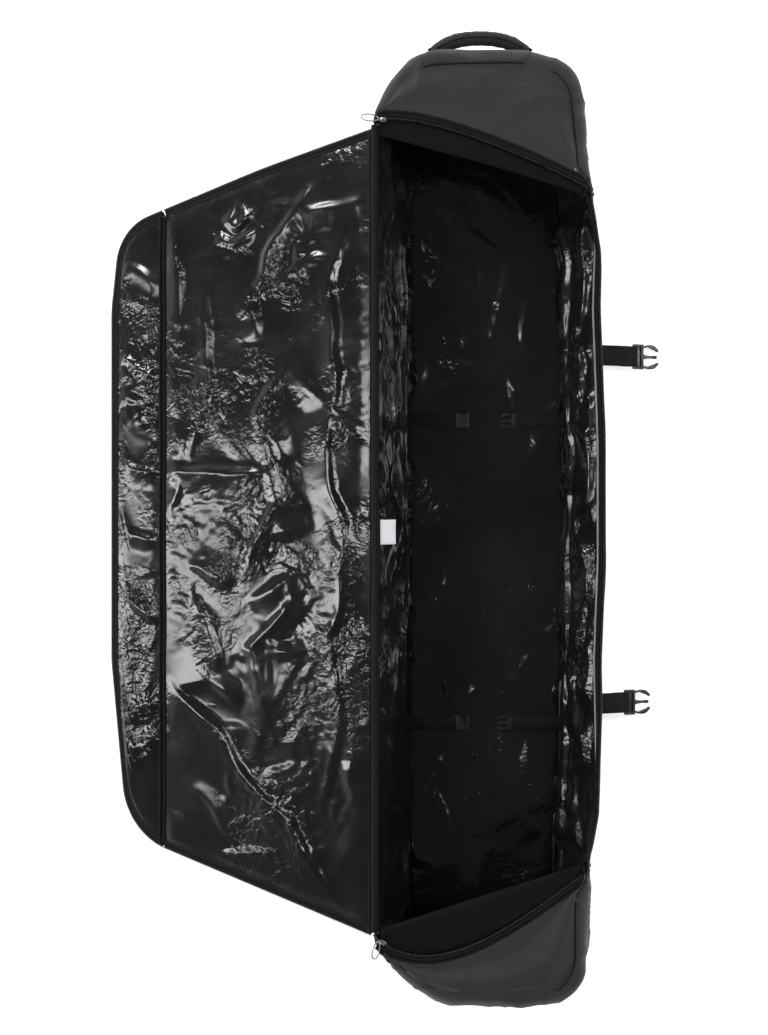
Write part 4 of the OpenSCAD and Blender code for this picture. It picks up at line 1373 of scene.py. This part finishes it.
def build_lid_buckles():
    along = unit(lid_pt(1, 0, 0) - lid_pt(0, 0, 0))
    for k, (tag, _) in enumerate(ENDS):
        fr = strap_frame(lid_pt(0.418, FRONT_Y[k], 0.0138), along, unit(-LID_UP))
        path = [(-0.0046, -0.0020), (0.003, -0.0021)] + rounded_bend(0.0045, -0.0021, 0.0021)
        path += [(-0.0046, 0.0020)]
        strip = webbing_strip(f"{tag}_lid_webbing", fr, path, STRAP_W)
        finish_piece(strip, f"{tag}_lid_buckle", "webbing")
        buckle = female_buckle(f"{tag}_socket_buckle")
        placed(buckle, lid_pt(0.4235, FRONT_Y[k], 0.0080), fr[1], fr[3])
        finish_piece(buckle, f"{tag}_lid_buckle", "buckle_plastic", f"{tag}_female_buckle")


def sewn_box(name, centre, out, x, y, length, width, body, pitch=0.0034, lift=0.0):
    """A box stitch as a finished piece, facing out and lifted that way."""
    runs = [(r + out * lift, out) for r in box_stitch(centre, x, y, length, width)]
    return sew(name, runs, body, pitch)


def inner_half(name, start, heading, path, bend, tail):
    """Webbing of half an inner strap, from its sewn end at start, turned back round the buckle's bar."""
    fr = strap_frame(start, (heading, 0, 0), UP)
    path = path + rounded_bend(*bend)[::-1] + tail
    return fr, webbing_strip(f"{name}_web", fr, path, INNER_W, 0.0016)


def build_inner_straps():
    for k, (tag, _) in enumerate(ENDS):
        name = f"{tag}_inner_hinge"
        path = [(0.0, 0.0), (0.030, 0.0016 + 0.001 * k), (0.058, 0.0010), (0.082, 0.0014)]
        (o, x, y, z), strip = inner_half(name, (-0.147038, INNER_Y[k], 0.0124), 1, path,
                                         (0.0865, -0.0020, 0.0016), [(0.070, -0.0022), (0.055, -0.0020)])
        finish_piece(strip, f"{name}_half", "webbing", f"{name}_strap")
        sewn_box(f"{name}_sewn", o + x * 0.062 + z * 0.0016, z, x, y, 0.012, 0.018, f"{name}_half",
                 lift=0.0010)
        buckle = placed(female_buckle(f"{tag}_inner_socket", 0.60), o + x * 0.0860 - z * 0.0036, x, z)
        finish_piece(buckle, f"{name}_half", "buckle_plastic")
        name = f"{tag}_inner_front"
        path = [(0.0, 0.0), (0.026, 0.0018), (0.056, 0.0012), (0.088, 0.0014)]
        (o, x, y, z), strip = inner_half(name, ((0.140981, 0.133738)[k], INNER_Y[k], 0.0124), -1, path,
                                         (0.0905, -0.0018, 0.0016), [(0.074, -0.0022), (0.050, -0.0018)])
        finish_piece(strip, f"{name}_half", "webbing", f"{name}_strap")
        buckle = placed(male_buckle(f"{tag}_inner_prongs", 0.60), o + x * 0.0915 - z * 0.0020, x, z)
        finish_piece(buckle, f"{name}_half", "buckle_plastic")


def build_patches():
    """Webbing patches sewn over the ends of the straps."""
    for k, (tag, _) in enumerate(ENDS):
        for side in ("outer", "inner_front", "inner_hinge"):
            outside = side == "outer"
            d = -0.0012 if outside else STACK + 0.0016
            zs = np.linspace(0.069, 0.089, 5) if outside else np.linspace(0.019, 0.044, 5)
            w = STRAP_W if outside else INNER_W
            mid = (FRONT_Y if outside else INNER_Y)[k]
            ys = np.linspace(mid - w / 2, mid + w / 2, 9)
            pts = np.stack([wall_pt(-HALF_W if side == "inner_hinge" else right_x(v), v, zs, d) for v in ys])
            obj = sheet_object(f"{tag}_{side}_patch", pts, MAT["webbing"], 0.0016, side == "inner_front")
            finish_piece(obj, "base", "webbing", "outer_strap_patches" if outside else "inner_strap_patches")
            out = normals_of(pts)[4, 2]
            out = out * (np.sign(out[0]) * (-1 if side == "inner_front" else 1))
            sewn_box(f"{tag}_{side}_bartack", pts[4, 2] + out * 0.0012, out, unit(pts[4, 4] - pts[4, 0]),
                     (0, 1.0, 0), 0.014 if outside else 0.017, w - 0.009, "base")


# ---------------------------------------------------------------- handles
def build_haul_handle():
    z = 0.125
    half = [(-0.083, 0.8200), (-0.070, 0.8262), (-0.052, 0.8345), (-0.030, 0.8405)]
    line = half + [(0.0, 0.8428)] + [(-x, y) for x, y in half[::-1]]
    arch = smooth_line([(GRIP_X + x, y, z) for x, y in line], 0.003)
    t = np.linspace(-1, 1, len(arch))
    swell = np.clip((1 - np.abs(t)) * 3.2, 0, 1) ** 0.6
    radius = 0.0124 * (0.54 + 0.46 * swell) * (1 + 0.018 * noise(arch, 0.012, 17))
    grip = tube("grip_pad", arch, radius, MAT["grip"], 28)
    p = np.array([v.co for v in grip.data.vertices])
    wrinkle = 0.0007 * folds(p, 0.012, 19, (0.4, 1, 1))
    centre = arch[np.argmin(np.linalg.norm(p[:, None] - arch[None], axis=2), axis=1)]
    p = p + (p - centre) / 0.0108 * wrinkle[:, None]
    grip.data.vertices.foreach_set("co", p.ravel())
    grip.data.update()
    finish_piece(grip, "haul_handle", "grip_fabric", "haul_grip")
    seam = (arch + np.column_stack((0 * t, 0 * t, radius + 0.0004)))[3:-3]
    welt = tube("grip_seam", seam, 0.0010, MAT["binding"], 8)
    finish_piece(welt, "haul_handle", "webbing")
    sew("grip_stitch", [(seam - np.array((0, 0.0026, 0.0003)), (0, -0.2, 1))], "haul_handle", 0.0034)
    parts = []
    for side in (-1, 1):
        x = GRIP_X + side * 0.084
        turn = [(x + side * 0.003, 0.8180, z), (x, 0.8205, z), (x - side * 0.012, 0.8255, z),
                (x - side * 0.020, 0.8290, z)]
        path = resample(np.array(turn), 0.002)
        band = flat_section(0.0135, 0.0024, -0.0012)
        parts.append(sweep(f"haul_web_{side}", path, UP, band, MAT["webbing"]))
    finish_piece(join("haul_web", parts), "haul_handle", "webbing", "haul_webbing")
    outer = hood_surface(True)
    near = (outer[:, 60, 0] > -0.110) & (outer[:, 60, 0] < 0.070)
    rows, out = outer[near, HOOD_TOP - 1:], normals_up(outer)[near, HOOD_TOP - 1:]
    keep = rows[rows.shape[0] // 2, :, 2] > 0.145
    pts = rows[:, keep] + out[:, keep] * 0.0009
    flip = normals_of(outer)[HOOD_COLS // 2, 10][2] < 0
    facing = sheet_object("haul_facing", pts, MAT["hood"], 0.0010, flip)
    finish_piece(facing, "base", "webbing", "haul_handle_facing")
    top = pts[:, 0] + np.array((0, 0.0004, 0.0004))
    welt = tube("haul_facing_welt", resample(top, 0.003), 0.0010, MAT["binding"], 8)
    finish_piece(welt, "base", "webbing")
    rows = [(pts[:, 1] + np.array((0, 0.0004, 0.0006)), (0, 0.3, 1)),
            (pts[:, -2] + np.array((0, 0.0006, 0)), (0, 1, 0))]
    sew("haul_facing_stitch", rows, "base")


def build_side_handle():
    half, bend = 0.086, 0.030
    start = -half + 0.013
    top = wall_pt(-HALF_W, 0.0, 0.150)
    down = unit(wall_pt(-HALF_W, 0.0, 0.080) - top)
    normal = unit(np.cross(down, (0, 1.0, 0)))
    if normal[0] > 0:
        normal = -normal
    turn = np.linspace(0, math.pi / 2, 8)
    outline = [(start, 0.0)] + [(start + bend * (1 - math.cos(a)), 0.028 + bend * math.sin(a)) for a in turn]
    outline += [(-y, s) for y, s in outline[::-1]]
    outline = resample(np.array(outline), 0.003)
    bow = 0.0042 + 0.0050 * np.sin(np.linspace(0, math.pi, len(outline)))
    path = top + outline[:, :1] * np.array((0, 1.0, 0)) + outline[:, 1:] * down + bow[:, None] * normal
    strip = sweep("grab_strip", path, normal, flat_section(0.026, 0.0030, -0.0015), MAT["webbing"])
    finish_piece(strip, "grab_handle", "webbing", "side_handle")
    t = np.gradient(path, axis=0)
    t /= np.linalg.norm(t, axis=1, keepdims=True)
    rows = [(path + np.cross(normal, t) * off + normal * 0.0014, normal) for off in (-0.0095, 0.0095)]
    sew("grab_stitch", rows, "grab_handle")
    for k, y0 in enumerate((-0.066, 0.066)):
        zs = np.linspace(0.1505, 0.184, 6)
        pts = np.stack([wall_pt(-HALF_W, v, zs, -0.0012) for v in np.linspace(y0 - 0.020, y0 + 0.020, 9)])
        patch = sheet_object(f"grab_patch_{k}", pts, MAT["webbing"], 0.0018, True)
        finish_piece(patch, "base", "webbing", "side_handle_patches")
        sewn_box(f"grab_patch_stitch_{k}", pts[4].mean(0) + normal * 0.0012, normal, down, (0, 1.0, 0),
                 0.022, 0.030, "base")


# ---------------------------------------------------------------- zip sliders and pulls
# Each wire pull's eye and the way that it points, at the head and at the foot.
PULLS = {True: ((-0.19502, 0.689455, 0.2085), (-0.993, 0.118, 0)),
         False: ((-0.19562, -0.70241, 0.2085), (-0.2565, -0.966, 0))}
def build_sliders():
    length, wide = 0.0165, 0.0115
    turn = np.linspace(0, 2 * math.pi, 28, endpoint=False)
    shape = [(length / 2 * math.cos(a), wide / 2 * (0.80 + 0.20 * math.cos(a)) * math.sin(a)) for a in turn]
    diamond = [(0.0045, -0.0016), (0.0020, 0.0), (0.0045, 0.0016), (0.0075, 0)]
    loop = [(0.0050, 0, 0.0062), (0.0040, 0, 0.0090), (0, 0, 0.0100), (-0.0040, 0, 0.0090),
            (-0.0050, 0, 0.0062)]
    for tag, head in ENDS:
        rim = rim_curve(head)
        along = unit(np.append(rim_pt(rim, 0.06, 0) - rim_pt(rim, 0.0, 0), 0.0))
        parts = [plate(f"{tag}_s_low", shape, 0.0, 0.0014, MAT["metal"], 0.0005),
                 plate(f"{tag}_s_top", shape, 0.0052, 0.0066, MAT["metal"], 0.0006),
                 plate(f"{tag}_s_post", diamond, 0.0010, 0.0056, MAT["metal"], 0.0003),
                 sweep(f"{tag}_s_bridge", resample(np.array(loop), 0.0008), (0, 1, 0),
                       flat_section(0.0012, 0.0034, -0.0017), MAT["metal"])]
        lo, hi = (np.array(v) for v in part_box(f"{tag}_slider"))
        middle = (lo + hi) / 2
        slider = placed(join(f"{tag}_zip_slider", parts), (middle[0], middle[1], lo[2]), along, UP)
        finish_piece(slider, f"{tag}_zip_slider", "slider_metal", f"{tag}_slider")
        eye, heading = (np.array(v) for v in PULLS[head])
        side = np.array((-heading[1], heading[0], 0))
        ring = []
        for a in np.linspace(0, 2 * math.pi, 56, endpoint=False):
            lx = 0.0150 * math.cos(a)
            ly = 0.0056 * math.sin(a) * (1 + 0.10 * math.cos(a))
            twist = np.array((0, 0, 0.0004 * math.sin(3 * a)))
            ring.append(eye + heading * (lx + 0.0150) + side * ly + twist)
        wire = tube(f"{tag}_wire_pull", np.array(ring), 0.0011, MAT["metal"], 12, closed=True)
        finish_piece(wire, f"{tag}_zip_pull", "slider_metal", f"{tag}_pull")


def build_label():
    wide, long = 0.028, 0.042
    c, s = math.cos(math.radians(24)), math.sin(math.radians(24))
    a, b = np.meshgrid(np.linspace(0, wide, 15), np.linspace(-long / 2, long / 2, 15), indexing="ij")
    curl = 0.0022 * np.sin(a / wide * math.pi * 0.9) + 0.0010 * (b / 0.021) ** 2 * (a / wide)
    pts = np.stack((-0.192 + a * c + curl * s, -0.010 + b + 0.0006 * a / wide, 0.1956 - a * s + curl * c), -1)
    label = sheet_object("sewn_label", pts, MAT["label"], 0.0004)
    finish_piece(label, "base", "label", "care_label")
    edge = pts[1] + np.array((s, 0, c)) * 0.0003
    finish_piece(stitches("label_stitch", [(edge, (s, 0, c))], MAT["label"], pitch=0.0028), "base", "label")


# ---------------------------------------------------------------- studio
def area_light(name, at, target, size, radiance):
    light = bpy.data.lights.new(name, "AREA")
    light.shape = "RECTANGLE"
    light.size, light.size_y = size
    light.energy = radiance * math.pi * size[0] * size[1]
    obj = bpy.data.objects.new(name, light)
    obj.location = at
    look = mathutils.Vector(np.array(target, float) - np.array(at, float))
    obj.rotation_euler = look.to_track_quat("-Z", "Y").to_euler()
    bpy.context.scene.collection.objects.link(obj)


def build_studio():
    mat = bpy.data.materials.new("studio_floor")
    mat.use_nodes = True
    bsdf = mat.node_tree.nodes["Principled BSDF"]
    bsdf.inputs["Base Color"].default_value = (0.93, 0.93, 0.93, 1)
    bsdf.inputs["Roughness"].default_value = 0.9
    bsdf.inputs["Emission Color"].default_value = (1, 1, 1, 1)
    bsdf.inputs["Emission Strength"].default_value = 0.7
    corners = [(x, y, -0.0015) for x, y in ((-40, -40), (40, -40), (40, 40), (-40, 40))]
    floor = new_object("studio_floor", corners, [(0, 1, 2, 3)], mat, False)
    world = bpy.data.worlds.new("studio")
    bpy.context.scene.world = world
    world.use_nodes = True
    tree = world.node_tree
    back = tree.nodes["Background"]
    coord = tree.nodes.new("ShaderNodeTexCoord")
    split = tree.nodes.new("ShaderNodeSeparateXYZ")
    ramp = tree.nodes.new("ShaderNodeValToRGB")
    tree.links.new(coord.outputs["Generated"], split.inputs[0])
    tree.links.new(split.outputs["Z"], ramp.inputs["Fac"])
    tree.links.new(ramp.outputs["Color"], back.inputs["Color"])
    stops = ramp.color_ramp.elements
    stops[0].position, stops[0].color = 0.0, (1.0, 1.0, 1.0, 1)
    stops[1].position, stops[1].color = 1.0, (0.10, 0.10, 0.105, 1)
    for at, v in ((0.30, 0.95), (0.44, 0.34), (0.75, 0.13)):
        e = stops.new(at)
        e.color = (v, v, v, 1)
    back.inputs["Strength"].default_value = 0.85
    area_light("over_left", (-1.80, 0.3, 3.3), (-0.4, 0, 0), (0.40, 1.2), 11)
    area_light("low_left", (-3.2, -0.2, 1.25), (-0.4, 0, 0), (0.40, 2.4), 11)
    area_light("head_left", (-1.9, 2.2, 2.1), (-0.3, 0, 0), (1.0, 0.5), 31)
    area_light("foot_left", (-1.7, -2.3, 2.0), (-0.3, 0, 0), (0.9, 0.42), 7)
    area_light("right_bank", (2.4, 0.4, 1.9), (0, 0, 0), (0.42, 1.6), 17)


def build_camera():
    cam = bpy.data.cameras.new("camera")
    cam.lens = 78.0
    cam.sensor_fit = "AUTO"
    cam.sensor_width = 36.0
    obj = bpy.data.objects.new("camera", cam)
    obj.location = (-0.186, 0.015, 4.0)
    bpy.context.scene.collection.objects.link(obj)
    bpy.context.scene.camera = obj


def main():
    build_camera()
    build_studio()
    bpy.context.scene.view_settings.view_transform = "Standard"
    top, side = lid_panels()
    rise = zip_height(FRONT_YS) - TAPE_W
    panels = {
        "lid": np.dstack((-top[..., 0], top[..., 1])),
        "lid_side": np.dstack((-side[..., 0], side[..., 1])),
        "hinge_wall": np.dstack(np.meshgrid(np.linspace(0, 0.205, HINGE_ROWS), HINGE_YS, indexing="ij")),
        "front_wall": np.dstack((np.linspace(0, 1, FRONT_ROWS)[:, None] * rise[None, :],
                                 np.repeat(FRONT_YS[None, :], FRONT_ROWS, 0))),
        "floor": floor_surface(*FLOOR_GRID, STACK, STACK)[..., :2],
    }
    folds_at = {name: tents(name, flat) for name, flat in panels.items()}
    folds_at["lid"] = np.maximum(folds_at["lid"] * 0.8, creases(top, LID_CREASES))
    folds_at["lid_side"] = np.maximum(folds_at["lid_side"], creases(side, SIDE_CREASES))
    for name in ("hinge_wall", "front_wall"):
        folds_at[name] = folds_at[name] + swags(panels[name], name == "hinge_wall")
    disp = crumple(panels, folds_at)
    disp = {name: layered(panels[name], disp[name], folds_at[name]) for name in panels}
    build_ends()
    build_rims()
    build_base_panels(disp)
    build_front_rim()
    build_hinge_strip()
    build_bottom_seam()
    build_wall_joins()
    build_lid(disp)
    build_lid_edges()
    build_fold_seam()
    build_lid_hinge_binding()
    build_outer_straps()
    build_lid_buckles()
    build_inner_straps()
    build_patches()
    build_haul_handle()
    build_side_handle()
    build_sliders()
    build_label()


main()
